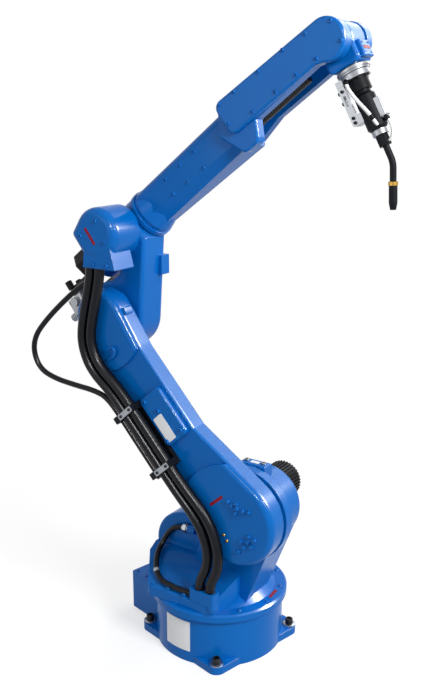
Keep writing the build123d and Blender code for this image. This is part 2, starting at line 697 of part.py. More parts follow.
lever_foot = ELBOW + heading(FOREARM_PITCH) * (LEVER_INSET - FEEDER_BACK) + NEAR_SIDE * LEVER_NEAR
with BuildPart() as feeder_lever:
    with BuildSketch(cross_plane(lever_foot, FOREARM_PITCH + QUARTER_TURN, FEEDER_TOP)):
        Circle(LEVER_RADIUS)
    extrude(amount=LEVER_HEIGHT)
    with BuildSketch(cross_plane(lever_foot, FOREARM_PITCH + QUARTER_TURN, FEEDER_TOP + LEVER_HEIGHT)):
        Circle(LEVER_KNOB_RADIUS)
    extrude(amount=-LEVER_KNOB_LENGTH)
save(feeder_lever, "feeder_lever")

# Forearm

with BuildPart() as near_fork:
    with BuildSketch(side_plane(WRIST, FOREARM_PITCH, FORK_INNER)):
        Polygon(
            (0, FORK_NOSE_RADIUS),
            (-FORK_LENGTH, FORK_BACK_TOP),
            (-FORK_LENGTH - SADDLE_OVERLAP, 0),
            (-FORK_LENGTH, -SADDLE_BOTTOM),
            (SADDLE_LENGTH - FORK_LENGTH, -SADDLE_BOTTOM),
            (SADDLE_TOE - FORK_LENGTH, -FORK_WAIST_BOTTOM),
            (-FORK_WAIST_BACK, -FORK_WAIST_BOTTOM),
            (0, -FORK_NOSE_RADIUS),
            align=None,
        )
        fillet(vertices().group_by(Axis.Y)[0], SADDLE_ROUND)
        Circle(FORK_NOSE_RADIUS)
    extrude(amount=FORK_OUTER - FORK_INNER)
    fillet(faces().sort_by(TO_NEAR)[-1].edges(), FORK_EDGE)

with BuildPart() as far_fork:
    with BuildSketch(side_plane(WRIST, FOREARM_PITCH, -FORK_INNER)):
        Polygon(
            (0, FORK_WAIST_BOTTOM),
            (-FORK_LENGTH - SADDLE_OVERLAP, FORK_BACK_BOTTOM),
            (-FORK_LENGTH - SADDLE_OVERLAP, -FORK_BACK_BOTTOM),
            (SADDLE_TOE - FORK_LENGTH, -FAR_ARM_BOTTOM),
            (-FORK_WAIST_BACK, -FORK_WAIST_BOTTOM),
            (0, -FORK_NOSE_RADIUS),
            align=None,
        )
        Circle(FORK_NOSE_RADIUS)
    extrude(amount=FORK_INNER - FORK_OUTER)
    fillet(faces().sort_by(TO_NEAR)[0].edges(), FORK_EDGE)

roll_seat = ROLL_FOOT + heading(FOREARM_PITCH) * (ROLL_FACE + JOINT_GAP)

with BuildPart() as forearm_casting:
    with BuildSketch(side_plane(roll_seat, FOREARM_PITCH)):
        Polygon(
            (0, 0),
            (0, FOREARM_FLANGE_RADIUS),
            (FOREARM_RING_LENGTH, FOREARM_FLANGE_RADIUS),
            (FOREARM_RING_LENGTH, FOREARM_RING_RADIUS),
            (FOREARM_FLANGE_LENGTH, FOREARM_RING_RADIUS),
            (FOREARM_FLANGE_LENGTH, FOREARM_FLANGE_RADIUS - FOREARM_RING_STEP),
            (FOREARM_FLANGE_LENGTH + FOREARM_CONE_LENGTH, FOREARM_HALF_HEIGHT),
            (FOREARM_FLANGE_LENGTH + FOREARM_CONE_LENGTH, 0),
            align=None,
        )
    revolve(axis=Axis(ROLL_FOOT, heading(FOREARM_PITCH)))
    for reach, half_width, bevel in (
        (BODY_START, FOREARM_ROOT_HALF_WIDTH, BODY_BACK_BEVEL),
        (FORK_SLOT_START, FOREARM_HALF_WIDTH, BODY_FRONT_BEVEL),
    ):
        with BuildSketch(cross_plane(ROLL_FOOT, FOREARM_PITCH, reach)):
            Rectangle(FOREARM_HALF_HEIGHT * 2, half_width * 2)
            chamfer(vertices().group_by(Axis.X)[0], bevel)
            fillet(vertices().group_by(Axis.X)[-1], FOREARM_ROUND)
    loft()
    add(near_fork.part)
    add(far_fork.part)
save(forearm_casting, "forearm_casting")

with BuildPart() as forearm_cover:
    with BuildSketch(side_plane(WRIST, FOREARM_PITCH, FORK_OUTER)):
        Polygon(
            (0, SIDE_COVER_NOSE_RADIUS),
            (-SIDE_COVER_LENGTH, SIDE_COVER_TOP),
            (-SIDE_COVER_LENGTH, -SIDE_COVER_BOTTOM),
            (-FORK_WAIST_BACK, -SIDE_COVER_WAIST_BOTTOM),
            (0, -SIDE_COVER_NOSE_RADIUS),
            align=None,
        )
        fillet(vertices().sort_by(Axis.X)[:2], SIDE_COVER_ROUND)
        Circle(SIDE_COVER_NOSE_RADIUS)
    extrude(amount=SIDE_COVER_THICKNESS)
    fillet(faces().sort_by(TO_NEAR)[-1].edges(), SIDE_COVER_EDGE)
save(forearm_cover, "forearm_cover")

# Places along the tool; the torch conduit ends short of the bracket's swing
FLANGE_START = WRIST_REACH + JOINT_GAP
ADAPTER_START = FLANGE_START + FLANGE_THICKNESS
SENSOR_START = ADAPTER_START + ADAPTER_THICKNESS
bracket_swing = hypot(SENSOR_START, BRACKET_BACK + BRACKET_WIDTH)

with BuildPart() as torch_conduit:
    with BuildSketch(cross_plane(ROLL_FOOT, FOREARM_PITCH, FORK_SLOT_START)):
        with Locations((-TORCH_CONDUIT_DROP, 0)):
            Circle(TORCH_CONDUIT_RADIUS)
    extrude(amount=FORK_LENGTH - bracket_swing - JOINT_GAP)
save(torch_conduit, "torch_conduit")

# Wrist

with BuildPart() as wrist_casting:
    with BuildSketch(side_plane(WRIST, TOOL_PITCH, -WRIST_HALF_WIDTH)):
        with Locations((0, -WRIST_BACK)):
            Rectangle(WRIST_REACH, WRIST_FRONT + WRIST_BACK, align=Align.MIN)
        fillet(vertices().sort_by(Axis.X)[-2:], WRIST_ROUND)
        Circle(WRIST_RADIUS)
    extrude(amount=WRIST_HALF_WIDTH * 2)
    fillet(faces().sort_by(TO_NEAR)[0].edges() + faces().sort_by(TO_NEAR)[-1].edges(), WRIST_EDGE)
    with BuildSketch(side_plane(WRIST, TOOL_PITCH)):
        Circle(WRIST_BEARING_RADIUS)
    extrude(amount=WRIST_HALF_WIDTH + BEARING_RISE, both=True)
save(wrist_casting, "wrist_casting")

with BuildPart() as wrist_cap:
    with BuildSketch(side_plane(WRIST, TOOL_PITCH, -WRIST_CAP_HALF_WIDTH)):
        with Locations((WRIST_CAP_START, WRIST_FRONT + SEAT_GAP)):
            Rectangle(WRIST_CAP_LENGTH, WRIST_CAP_THICKNESS, align=Align.MIN)
    extrude(amount=WRIST_CAP_HALF_WIDTH * 2)
    fillet(faces().sort_by(Axis(WRIST, heading(TOOL_PITCH + QUARTER_TURN)))[-1].edges(), WRIST_CAP_EDGE)
save(wrist_cap, "wrist_cap")

# Tool flange and welding torch

TORCH_START = SENSOR_START + SENSOR_LENGTH
COLLAR_START = TORCH_START + TORCH_BODY_LENGTH
SOCKET_START = COLLAR_START + COLLAR_LENGTH
TORCH_NECK_START = SOCKET_START + TORCH_SOCKET_LENGTH

with BuildPart() as tool_flange:
    with BuildSketch(side_plane(WRIST + heading(TOOL_PITCH) * FLANGE_START, TOOL_PITCH)):
        Polygon(
            (-BEARING_RISE, 0),
            (-BEARING_RISE, FLANGE_BEARING_RADIUS),
            (0, FLANGE_BEARING_RADIUS),
            (0, FLANGE_RADIUS),
            (FLANGE_LIP, FLANGE_RADIUS),
            (FLANGE_LIP, FLANGE_FACE_RADIUS),
            (FLANGE_THICKNESS, FLANGE_FACE_RADIUS),
            (FLANGE_THICKNESS, 0),
            align=None,
        )
    revolve(axis=Axis(WRIST, heading(TOOL_PITCH)))
save(tool_flange, "tool_flange")

with BuildPart() as torch_adapter:
    with BuildSketch(cross_plane(WRIST, TOOL_PITCH, ADAPTER_START)):
        Circle(ADAPTER_RADIUS)
        with Locations((-BRACKET_BACK - BRACKET_WIDTH, BRACKET_NEAR - BRACKET_DEPTH)):
            Rectangle(BRACKET_BACK + BRACKET_WIDTH, BRACKET_DEPTH, align=Align.MIN)
    extrude(amount=ADAPTER_THICKNESS)
    fillet(edges().filter_by(GeomType.CIRCLE), ADAPTER_EDGE)
save(torch_adapter, "torch_adapter")

with BuildPart() as torch_sensor:
    with BuildSketch(cross_plane(WRIST, TOOL_PITCH, SENSOR_START)):
        Circle(SENSOR_RADIUS)
    extrude(amount=SENSOR_LENGTH)
save(torch_sensor, "torch_sensor")

bracket_clamp_start = SENSOR_START + BRACKET_LENGTH - BRACKET_CLAMP_LENGTH

with BuildPart() as torch_bracket:
    with BuildSketch(cross_plane(WRIST, TOOL_PITCH, SENSOR_START)):
        with Locations((-BRACKET_BACK - BRACKET_WIDTH, BRACKET_NEAR - BRACKET_DEPTH)):
            Rectangle(BRACKET_WIDTH, BRACKET_DEPTH, align=Align.MIN)
    extrude(amount=BRACKET_LENGTH)
    with BuildSketch(side_plane(WRIST, TOOL_PITCH, BRACKET_NEAR)):
        with Locations((bracket_clamp_start, -BRACKET_BACK - BRACKET_WIDTH)):
            Rectangle(BRACKET_CLAMP_LENGTH, BRACKET_WIDTH + BRACKET_BACK, align=Align.MIN)
    extrude(amount=-BRACKET_DEPTH)
    with BuildSketch(cross_plane(WRIST, TOOL_PITCH, SENSOR_START)):
        Circle(TORCH_RADIUS + SEAT_GAP)
    extrude(amount=BRACKET_LENGTH, mode=Mode.SUBTRACT)
    fillet(edges().filter_by(Axis(WRIST, NEAR_SIDE)), BRACKET_CORNER)
    with BuildSketch(side_plane(WRIST, TOOL_PITCH, BRACKET_NEAR)):
        with Locations((SENSOR_START + BRACKET_WINDOW_START, -BRACKET_BACK - BRACKET_WIDTH / 2)):
            SlotCenterToCenter(BRACKET_WINDOW_LENGTH, BRACKET_WINDOW_WIDTH)
    extrude(amount=-BRACKET_DEPTH, mode=Mode.SUBTRACT)
save(torch_bracket, "torch_bracket")

with BuildPart() as torch_body:
    with BuildSketch(side_plane(WRIST + heading(TOOL_PITCH) * TORCH_START, TOOL_PITCH)):
        Polygon(
            (0, 0),
            (0, TORCH_WAIST_RADIUS),
            (TORCH_SHOULDER, TORCH_WAIST_RADIUS),
            (TORCH_SHOULDER * 2, TORCH_RADIUS),
            (TORCH_BODY_LENGTH - TORCH_SHOULDER, TORCH_RADIUS),
            (TORCH_BODY_LENGTH, TORCH_WAIST_RADIUS),
            (TORCH_BODY_LENGTH, 0),
            align=None,
        )
    revolve(axis=Axis(WRIST, heading(TOOL_PITCH)))
save(torch_body, "torch_body")

with BuildPart() as torch_block:
    with BuildSketch(cross_plane(WRIST, TOOL_PITCH, TORCH_START + TORCH_BLOCK_START)):
        with Locations((0, -TORCH_BLOCK_WIDTH / 2)):
            Rectangle(TORCH_RADIUS + TORCH_BLOCK_RISE, TORCH_BLOCK_WIDTH, align=Align.MIN)
    extrude(amount=TORCH_BLOCK_LENGTH)
    fillet(faces().sort_by(Axis(WRIST, heading(TOOL_PITCH + QUARTER_TURN)))[-1].edges(), TORCH_BLOCK_EDGE)
    add(torch_body.part, mode=Mode.SUBTRACT)
save(torch_block, "torch_block")

with BuildPart() as torch_collar:
    with BuildSketch(cross_plane(WRIST, TOOL_PITCH, COLLAR_START)):
        Circle(COLLAR_RADIUS)
    extrude(amount=COLLAR_LENGTH)
save(torch_collar, "torch_collar")

with BuildPart() as torch_socket:
    with BuildSketch(cross_plane(WRIST, TOOL_PITCH, SOCKET_START)):
        RegularPolygon(TORCH_SOCKET_RADIUS, TORCH_SOCKET_SIDES)
    extrude(amount=TORCH_SOCKET_LENGTH)
save(torch_socket, "torch_socket")

neck_foot = WRIST + heading(TOOL_PITCH) * TORCH_NECK_START
neck_corner = neck_foot + heading(TOOL_PITCH) * TORCH_NECK_RUN
neck_end = neck_corner + heading(TOOL_PITCH - TORCH_NECK_BEND) * TORCH_NECK_OUTRUN
with BuildPart() as torch_neck:
    with BuildLine() as neck_path:
        FilletPolyline(neck_foot, neck_corner, neck_end, radius=TORCH_NECK_BEND_RADIUS)
    with BuildSketch(cross_plane(neck_foot, TOOL_PITCH)):
        Circle(TORCH_NECK_RADIUS)
    sweep()
save(torch_neck, "torch_neck")

NOZZLE_PITCH = TOOL_PITCH - TORCH_NECK_BEND
with BuildPart() as nozzle_ring:
    with BuildSketch(cross_plane(neck_end, NOZZLE_PITCH)):
        Circle(NOZZLE_RING_RADIUS)
    extrude(amount=NOZZLE_RING_LENGTH)
save(nozzle_ring, "nozzle_ring")

with BuildPart() as torch_nozzle:
    with BuildSketch(side_plane(neck_end, NOZZLE_PITCH)):
        Polygon(
            (NOZZLE_RING_LENGTH, TIP_RADIUS + SEAT_GAP),
            (NOZZLE_RING_LENGTH, NOZZLE_RADIUS),
            (NOZZLE_RING_LENGTH + NOZZLE_LENGTH - NOZZLE_TAPER_LENGTH, NOZZLE_RADIUS),
            (NOZZLE_RING_LENGTH + NOZZLE_LENGTH, NOZZLE_MOUTH_RADIUS),
            (NOZZLE_RING_LENGTH + NOZZLE_LENGTH, NOZZLE_MOUTH_RADIUS - NOZZLE_WALL),
            (NOZZLE_RING_LENGTH + NOZZLE_LENGTH - NOZZLE_TAPER_LENGTH, NOZZLE_MOUTH_RADIUS - NOZZLE_WALL),
            (NOZZLE_RING_LENGTH + NOZZLE_LENGTH - NOZZLE_TAPER_LENGTH, TIP_RADIUS + SEAT_GAP),
            align=None,
        )
    revolve(axis=Axis(neck_end, heading(NOZZLE_PITCH)))
save(torch_nozzle, "torch_nozzle")

with BuildPart() as contact_tip:
    with BuildSketch(cross_plane(neck_end, NOZZLE_PITCH, NOZZLE_RING_LENGTH)):
        Circle(TIP_RADIUS)
    extrude(amount=NOZZLE_LENGTH - TIP_RECESS)
save(contact_tip, "contact_tip")

# Conduits, leads and their clamps

def held_at(reach, offset):
    """A point of a hose that the clamps hold beside the lower arm."""
    return side_plane(SHOULDER, LOWER_ARM_PITCH, CONDUIT_NEAR).from_local_coords(Vector(reach, offset, 0))


def beside(joint, ahead, near, rise):
    """A point set off from a joint, in the directions of the arm's side view."""
    return joint + heading(0) * ahead + NEAR_SIDE * near + heading(QUARTER_TURN) * rise


def shoulder_route(offset, foot_ahead, bulges):
    """From the gland on the swivel, round the shoulder, to the lower clamp."""
    climb = SHOULDER_HEIGHT - GLAND_TOP
    rising = [beside(SHOULDER, ahead, CONDUIT_NEAR, (share - 1) * climb) for ahead, share in bulges]
    return [
        beside(SHOULDER, foot_ahead, CONDUIT_NEAR, -climb),
        *rising,
        held_at(HELD_START - CLAMP_RUN, offset),
        held_at(HELD_START, offset),
    ]


def elbow_route(offset, foot_ahead, foot_near, bulges):
    """From the upper clamp, behind the elbow, up into the elbow cover's skirt."""
    start = held_at(HELD_END + CLAMP_RUN, offset)
    skirt_foot = beside(ROLL_FOOT, foot_ahead, foot_near, SKIRT_RISE - SKIRT_RUN)
    climb = skirt_foot.Z - start.Z
    rising = [
        beside(ELBOW, ahead, near, start.Z - ELBOW.Z + share * climb)
        for ahead, near, share in bulges
    ]
    return [
        held_at(HELD_END, offset),
        start,
        *rising,
        skirt_foot,
        beside(ROLL_FOOT, foot_ahead, foot_near, SKIRT_RISE),
    ]


# Bends round the shoulder: ahead of it, and the share of the climb to it
REAR_SHOULDER_BULGES = ((-100, 0.107), (-72, 0.342), (-70, 0.609), (-104, 0.934))
FRONT_SHOULDER_BULGES = ((-62, 0.107), (-34, 0.33), (-31, 0.638), (-67, 1.016))
# Bends behind the elbow: ahead of it, near, and the share of the climb to the skirt
REAR_ELBOW_BULGES = ((-15, 188, 0.18), (-48, 188, 0.39), (-43, 188, 0.59))
FRONT_ELBOW_BULGES = ((19, 188, 0.18), (-11, 188, 0.37), (-7, 188, 0.55))
# Loop of the welding lead, in the same terms
LEAD_BULGES = (
    (-3, 188, 0.04), (-83, 188, 0.05), (-173, 188, 0.07), (-240, 188, 0.126), (-268, 188, 0.27),
    (-258, 186, 0.415), (-215, 178, 0.558), (-148, 165, 0.732), (-68, 155, 0.904),
)
# Loop of the swivel's own lead over the rear cover: ahead, near and height
SWIVEL_LEAD_ROUTE = (
    (20, 195, 238), (-78, 195, 238), (-120, 175, 252), (-147, 134, 281),
    (-160, 102, 303), (-160, 76, 316), (-148, 73, 352), (-114, 70, 384), (-76, 70, 384),
)


def route_line(points, bend):
    """Straight runs between the points, joined by arcs that leave them smoothly."""
    with BuildLine() as line:
        FilletPolyline(*points, radius=bend)
    return line.line


def start_plane(line):
    return Plane(origin=line @ 0, z_dir=line % 0)


def clamped_run(offset):
    """The straight run between two clamps, a seat gap short of the flexing stretches at both ends."""
    return Edge.make_line(held_at(HELD_START + SEAT_GAP, offset), held_at(HELD_END - SEAT_GAP, offset))


def tube(name, path, radius):
    with BuildPart() as hose:
        with BuildSketch(start_plane(path)):
            Circle(radius)
        sweep(path=path)
    save(hose, name)


rear_shoulder = shoulder_route(REAR_CONDUIT_OFFSET, REAR_FOOT_AHEAD, REAR_SHOULDER_BULGES)
front_shoulder = shoulder_route(FRONT_CONDUIT_OFFSET, FRONT_FOOT_AHEAD, FRONT_SHOULDER_BULGES)
rear_elbow = elbow_route(REAR_CONDUIT_OFFSET, REAR_SKIRT_AHEAD, CONDUIT_NEAR, REAR_ELBOW_BULGES)
front_elbow = elbow_route(FRONT_CONDUIT_OFFSET, FRONT_SKIRT_AHEAD, CONDUIT_NEAR, FRONT_ELBOW_BULGES)
tube("shoulder_conduit_rear", route_line(rear_shoulder, CONDUIT_BEND), CONDUIT_RADIUS)
tube("shoulder_conduit_front", route_line(front_shoulder, CONDUIT_BEND), CONDUIT_RADIUS)
tube("arm_conduit_rear", clamped_run(REAR_CONDUIT_OFFSET), CONDUIT_RADIUS)
tube("arm_conduit_front", clamped_run(FRONT_CONDUIT_OFFSET), CONDUIT_RADIUS)
tube("elbow_conduit_rear", route_line(rear_elbow, CONDUIT_BEND), CONDUIT_RADIUS)
tube("elbow_conduit_front", route_line(front_elbow, CONDUIT_BEND), CONDUIT_RADIUS)

lead_loop = elbow_route(LEAD_OFFSET, LEAD_SKIRT_AHEAD, LEAD_SKIRT_NEAR, LEAD_BULGES)
tube("arm_lead", clamped_run(LEAD_OFFSET), LEAD_RADIUS)
tube("elbow_lead", route_line(lead_loop, LEAD_BEND), LEAD_RADIUS)
swivel_loop = [arm_point(*point) for point in SWIVEL_LEAD_ROUTE]
tube("swivel_lead", route_line(swivel_loop, SWIVEL_LEAD_BEND), LEAD_RADIUS)

for name, reach in (("cable_clamp_lower", CLAMP_LOWER_REACH), ("cable_clamp_upper", CLAMP_UPPER_REACH)):
    with BuildPart() as clamp:
        with BuildSketch(cross_plane(SHOULDER, LOWER_ARM_PITCH, reach)):
            with Locations((CLAMP_FRONT, CLAMP_FOOT)):
                Rectangle(CLAMP_WIDTH, CLAMP_HEIGHT, align=Align.MIN)
            with Locations((FRONT_CONDUIT_OFFSET, CONDUIT_NEAR), (REAR_CONDUIT_OFFSET, CONDUIT_NEAR)):
                Circle(CONDUIT_RADIUS + SEAT_GAP, mode=Mode.SUBTRACT)
            with Locations((LEAD_OFFSET, CONDUIT_NEAR)):
                Circle(LEAD_RADIUS + SEAT_GAP, mode=Mode.SUBTRACT)
        extrude(amount=CLAMP_LENGTH)
        add(lower_arm_casting.part, mode=Mode.SUBTRACT)
    save(clamp, name)

with BuildPart() as cable_tray:
    with BuildSketch(cross_plane(SHOULDER, LOWER_ARM_PITCH, CLAMP_LOWER_REACH + CLAMP_LENGTH)):
        with Locations((CLAMP_FRONT, CLAMP_FOOT)):
            Rectangle(CLAMP_WIDTH, TRAY_THICKNESS, align=Align.MIN)
    extrude(amount=CLAMP_UPPER_REACH - CLAMP_LOWER_REACH - CLAMP_LENGTH)
save(cable_tray, "cable_tray")

with BuildPart() as conduit_gland:
    with BuildSketch(SWIVEL_FRAME.offset(GLAND_TOP)):
        with Locations((GLAND_BACK, -GLAND_NEAR)):
            Rectangle(GLAND_LENGTH, GLAND_NEAR - GLAND_FAR, align=Align.MIN)
    extrude(amount=-GLAND_DROP)
    fillet(edges().filter_by(Axis.Z), GLAND_CORNER)
    add(swivel_rear_cover.part, mode=Mode.SUBTRACT)
    add(swivel_casting.part, mode=Mode.SUBTRACT)
save(conduit_gland, "conduit_gland")
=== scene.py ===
# %% [markdown]
# # A blue arc-welding robot arm
# The arm stands on a bolted base, leans back at the shoulder, reaches forward at
# the elbow and hangs a welding torch from its wrist. The solid castings come from
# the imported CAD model. This lesson gives them their paint and metal, and adds
# what is too small or too soft for the CAD model: hoses, screws, plates and wires.

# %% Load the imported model
import json
from math import cos, pi, radians, sin

import bmesh
import bpy
from mathutils import Matrix, Vector

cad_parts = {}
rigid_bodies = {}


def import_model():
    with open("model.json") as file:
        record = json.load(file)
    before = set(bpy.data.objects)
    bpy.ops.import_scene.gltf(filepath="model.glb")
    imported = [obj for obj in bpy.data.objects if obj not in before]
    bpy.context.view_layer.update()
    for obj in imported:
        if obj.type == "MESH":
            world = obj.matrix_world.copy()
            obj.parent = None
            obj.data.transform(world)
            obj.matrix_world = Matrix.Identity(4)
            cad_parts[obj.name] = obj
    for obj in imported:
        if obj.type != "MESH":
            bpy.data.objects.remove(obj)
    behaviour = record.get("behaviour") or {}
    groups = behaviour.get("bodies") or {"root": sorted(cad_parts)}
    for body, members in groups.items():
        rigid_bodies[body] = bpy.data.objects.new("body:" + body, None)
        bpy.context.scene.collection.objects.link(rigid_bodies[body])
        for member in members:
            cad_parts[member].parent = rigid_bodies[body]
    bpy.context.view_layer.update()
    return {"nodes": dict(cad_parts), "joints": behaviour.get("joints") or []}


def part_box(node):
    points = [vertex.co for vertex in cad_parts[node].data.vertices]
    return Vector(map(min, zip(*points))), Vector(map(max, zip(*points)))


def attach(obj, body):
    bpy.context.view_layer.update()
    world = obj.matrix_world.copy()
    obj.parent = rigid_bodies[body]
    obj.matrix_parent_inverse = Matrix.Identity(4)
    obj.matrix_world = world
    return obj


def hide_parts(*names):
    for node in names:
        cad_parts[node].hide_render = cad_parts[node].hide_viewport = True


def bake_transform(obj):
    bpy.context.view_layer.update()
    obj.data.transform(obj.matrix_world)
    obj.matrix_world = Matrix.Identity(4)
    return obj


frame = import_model()
MM = 0.001

# %% [markdown]
# ## Where each link lies
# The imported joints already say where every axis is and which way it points, so
# the links are worked out from them and never measured again. Each link gets a
# matrix whose X runs along the link, Y across it and Z towards the near side,
# the side that faces the camera. A place on a link is then three millimetre
# sizes, as on a drawing.

# %% Link frames from the joints
joints = {joint["name"]: joint for joint in frame["joints"]}
UP = Vector((0, 0, 1))
NEAR = -Vector(joints["lower_arm_lean"]["axis"])
AHEAD = UP.cross(NEAR)
SHOULDER, ELBOW, ROLL_FOOT, WRIST = (
    Vector(joints[name]["pos_m"])
    for name in ("lower_arm_lean", "elbow_raise", "forearm_roll", "wrist_bend")
)


def link_frame(origin, along):
    """X along the link, Z to the near side, both from the rest pose."""
    along = along.normalized()
    axes = Matrix((along, NEAR.cross(along), NEAR)).transposed().to_4x4()
    return Matrix.Translation(origin) @ axes


SWIVEL = link_frame(Vector(), AHEAD)
LOWER_ARM = link_frame(SHOULDER, ELBOW - SHOULDER)
FOREARM_AXIS = Vector(joints["forearm_roll"]["axis"])
ROLL = link_frame(ROLL_FOOT, FOREARM_AXIS)
FOREARM = link_frame(WRIST, FOREARM_AXIS)
TOOL = link_frame(WRIST, Vector(joints["tool_twist"]["axis"]))
BASE = Matrix.Identity(4)
print("lower arm", round((ELBOW - SHOULDER).length, 3), "m long")


# %% [markdown]
# ## Camera
# The picture was taken from in front of the near side, a little above the middle
# of the arm, with a lens of ordinary length. A camera could be aimed by a
# constraint; here its two angles are written down, because they are the ones at
# which the base plate's corners fall where the photograph has them.

# %% Camera at the photograph's angle
VIEW_AZIMUTH, VIEW_ELEVATION = radians(47.74), radians(15.39)
EYE = Vector((1.962, -1.810, 1.725))
FOCAL_LENGTH_MM, SENSOR_WIDTH_MM = 45.48, 36.0
level = cos(VIEW_ELEVATION)
back = Vector((sin(VIEW_AZIMUTH) * level, -cos(VIEW_AZIMUTH) * level, sin(VIEW_ELEVATION)))
right = UP.cross(back).normalized()
view_axes = Matrix((right, back.cross(right), back)).transposed().to_4x4()
lens = bpy.data.cameras.new("photo_camera")
lens.lens = FOCAL_LENGTH_MM
lens.sensor_width = SENSOR_WIDTH_MM
camera = bpy.data.objects.new("photo_camera", lens)
camera.matrix_world = Matrix.Translation(EYE) @ view_axes
bpy.context.collection.objects.link(camera)
bpy.context.scene.camera = camera
print("camera looks along", tuple(round(v, 3) for v in -back))


# %% [markdown]
# ## Nodes and colours
# A finish is a few nodes that feed one Principled shader. One function adds a
# node with its settings and links, another turns a screen colour into the linear
# numbers that a renderer works in, and a third turns a grain size in millimetres
# into the scale that a noise texture asks for.

# %% Helpers for finishes
def linear(hex_colour):
    """An sRGB hex colour as linear RGBA."""
    shares = [int(hex_colour[i:i + 2], 16) / 255 for i in (1, 3, 5)]
    return [s / 12.92 if s <= 0.04045 else ((s + 0.055) / 1.055) ** 2.4 for s in shares] + [1.0]


def per_metre(grain_mm):
    """The texture scale that draws one grain each grain_mm."""
    return 1 / (grain_mm * MM)


def add_node(finish, kind, inputs=None, **settings):
    """Adds a node; an input is given a number, a colour or another node's output."""
    node = finish.node_tree.nodes.new(kind)
    for name, value in settings.items():
        setattr(node, name, value)
    for name, value in (inputs or {}).items():
        if isinstance(value, bpy.types.NodeSocket):
            finish.node_tree.links.new(value, node.inputs[name])
        else:
            node.inputs[name].default_value = value
    return node


def new_finish(name, metallic=0.0, **sockets):
    """A material with its constant values set straight on the shader."""
    finish = bpy.data.materials.new(name)
    finish.use_nodes = True
    shader = finish.node_tree.nodes["Principled BSDF"]
    shader.inputs["Metallic"].default_value = metallic
    for socket, value in sockets.items():
        shader.inputs[socket.replace("_", " ")].default_value = value
    place = add_node(finish, "ShaderNodeTexCoord").outputs["Object"]
    return finish, shader, place


print("sRGB #808080 is linear", round(linear("#808080")[0], 3))

# %% [markdown]
# ## A grained surface
# Nothing on a real machine is one flat colour. Paint and metal drift a little in
# tone and gloss over a hand's width, and a fine grain lifts the skin. Image
# textures could show that; noise in object space needs no unwrapping and keeps its
# size in millimetres on every piece. On cast pieces a bevel node rounds the way
# that light sees the edges.

# %% Tone, gloss and grain in one function
MIX_FACTOR, MIX_FIRST, MIX_SECOND, MIX_RESULT = 0, 6, 7, 2
PATCH_DETAIL, GRAIN_DETAIL, GRAIN_STRENGTH, EDGE_SAMPLES = 4.0, 2.0, 0.6, 4


def grained(finish, shader, place, colours, patch_mm, gloss, grain_mm, rise_mm, edge_mm=0.0):
    """Colour drifts between two tones, roughness between two values, and a grain lifts the skin."""
    link = finish.node_tree.links.new
    patch = add_node(finish, "ShaderNodeTexNoise",
                     {"Vector": place, "Scale": per_metre(patch_mm), "Detail": PATCH_DETAIL}).outputs["Fac"]
    tones = {MIX_FACTOR: patch, MIX_FIRST: linear(colours[0]), MIX_SECOND: linear(colours[1])}
    tone = add_node(finish, "ShaderNodeMix", tones, data_type="RGBA")
    link(tone.outputs[MIX_RESULT], shader.inputs["Base Color"])
    shine = add_node(finish, "ShaderNodeMapRange", {"Value": patch, "To Min": gloss[0], "To Max": gloss[1]})
    link(shine.outputs["Result"], shader.inputs["Roughness"])
    grain = add_node(finish, "ShaderNodeTexNoise",
                     {"Vector": place, "Scale": per_metre(grain_mm), "Detail": GRAIN_DETAIL}).outputs["Fac"]
    skin = add_node(finish, "ShaderNodeBump",
                    {"Height": grain, "Strength": GRAIN_STRENGTH, "Distance": rise_mm * MM})
    if edge_mm:
        soft_edge = add_node(finish, "ShaderNodeBevel", {"Radius": edge_mm * MM}, samples=EDGE_SAMPLES)
        link(soft_edge.outputs["Normal"], skin.inputs["Normal"])
    link(skin.outputs["Normal"], shader.inputs["Normal"])
    return finish


print("a 9 mm grain is a texture scale of", round(per_metre(9)))

# %% [markdown]
# ## Blue enamel on cast aluminium and cast iron
# The castings are sprayed with a two-part polyurethane enamel. It is glossy, and
# spraying leaves a very shallow orange peel that makes reflections swim a little.
# Real orange peel has a pitch of about 3 mm; it is drawn at 9 mm so that it shows.
# The white surround would put a pale veil over a deep blue, so the specular level
# is low. A second shader mixed on top could be the clear layer; the shader's own
# coat gives the same sharp upper reflection with one value.

# %% Blue enamel
blue_enamel = grained(*new_finish("sprayed_blue_enamel", IOR=1.5, Specular_IOR_Level=0.08,
                                  Coat_Weight=0.1, Coat_Roughness=0.06),
                      colours=("#0263B8", "#036BC0"), patch_mm=220, gloss=(0.2, 0.3),
                      grain_mm=9, rise_mm=0.25, edge_mm=2.5)
print(blue_enamel.name)

# %% [markdown]
# ## Black hose, black casings and soft plastics
# The hoses are extruded PVC: smooth, a very dark blue-grey rather than black, with
# a long soft highlight. Motor shells and torch parts are powder coated and have a
# finer, duller skin, like fine sandpaper seen from far off. Screws are steel with a
# black oxide skin, and the torch's leads are sleeved in white silicone. One black
# for all would be less work, but the eye tells a hose from a casing by the width of
# its highlight, so each has its own roughness.

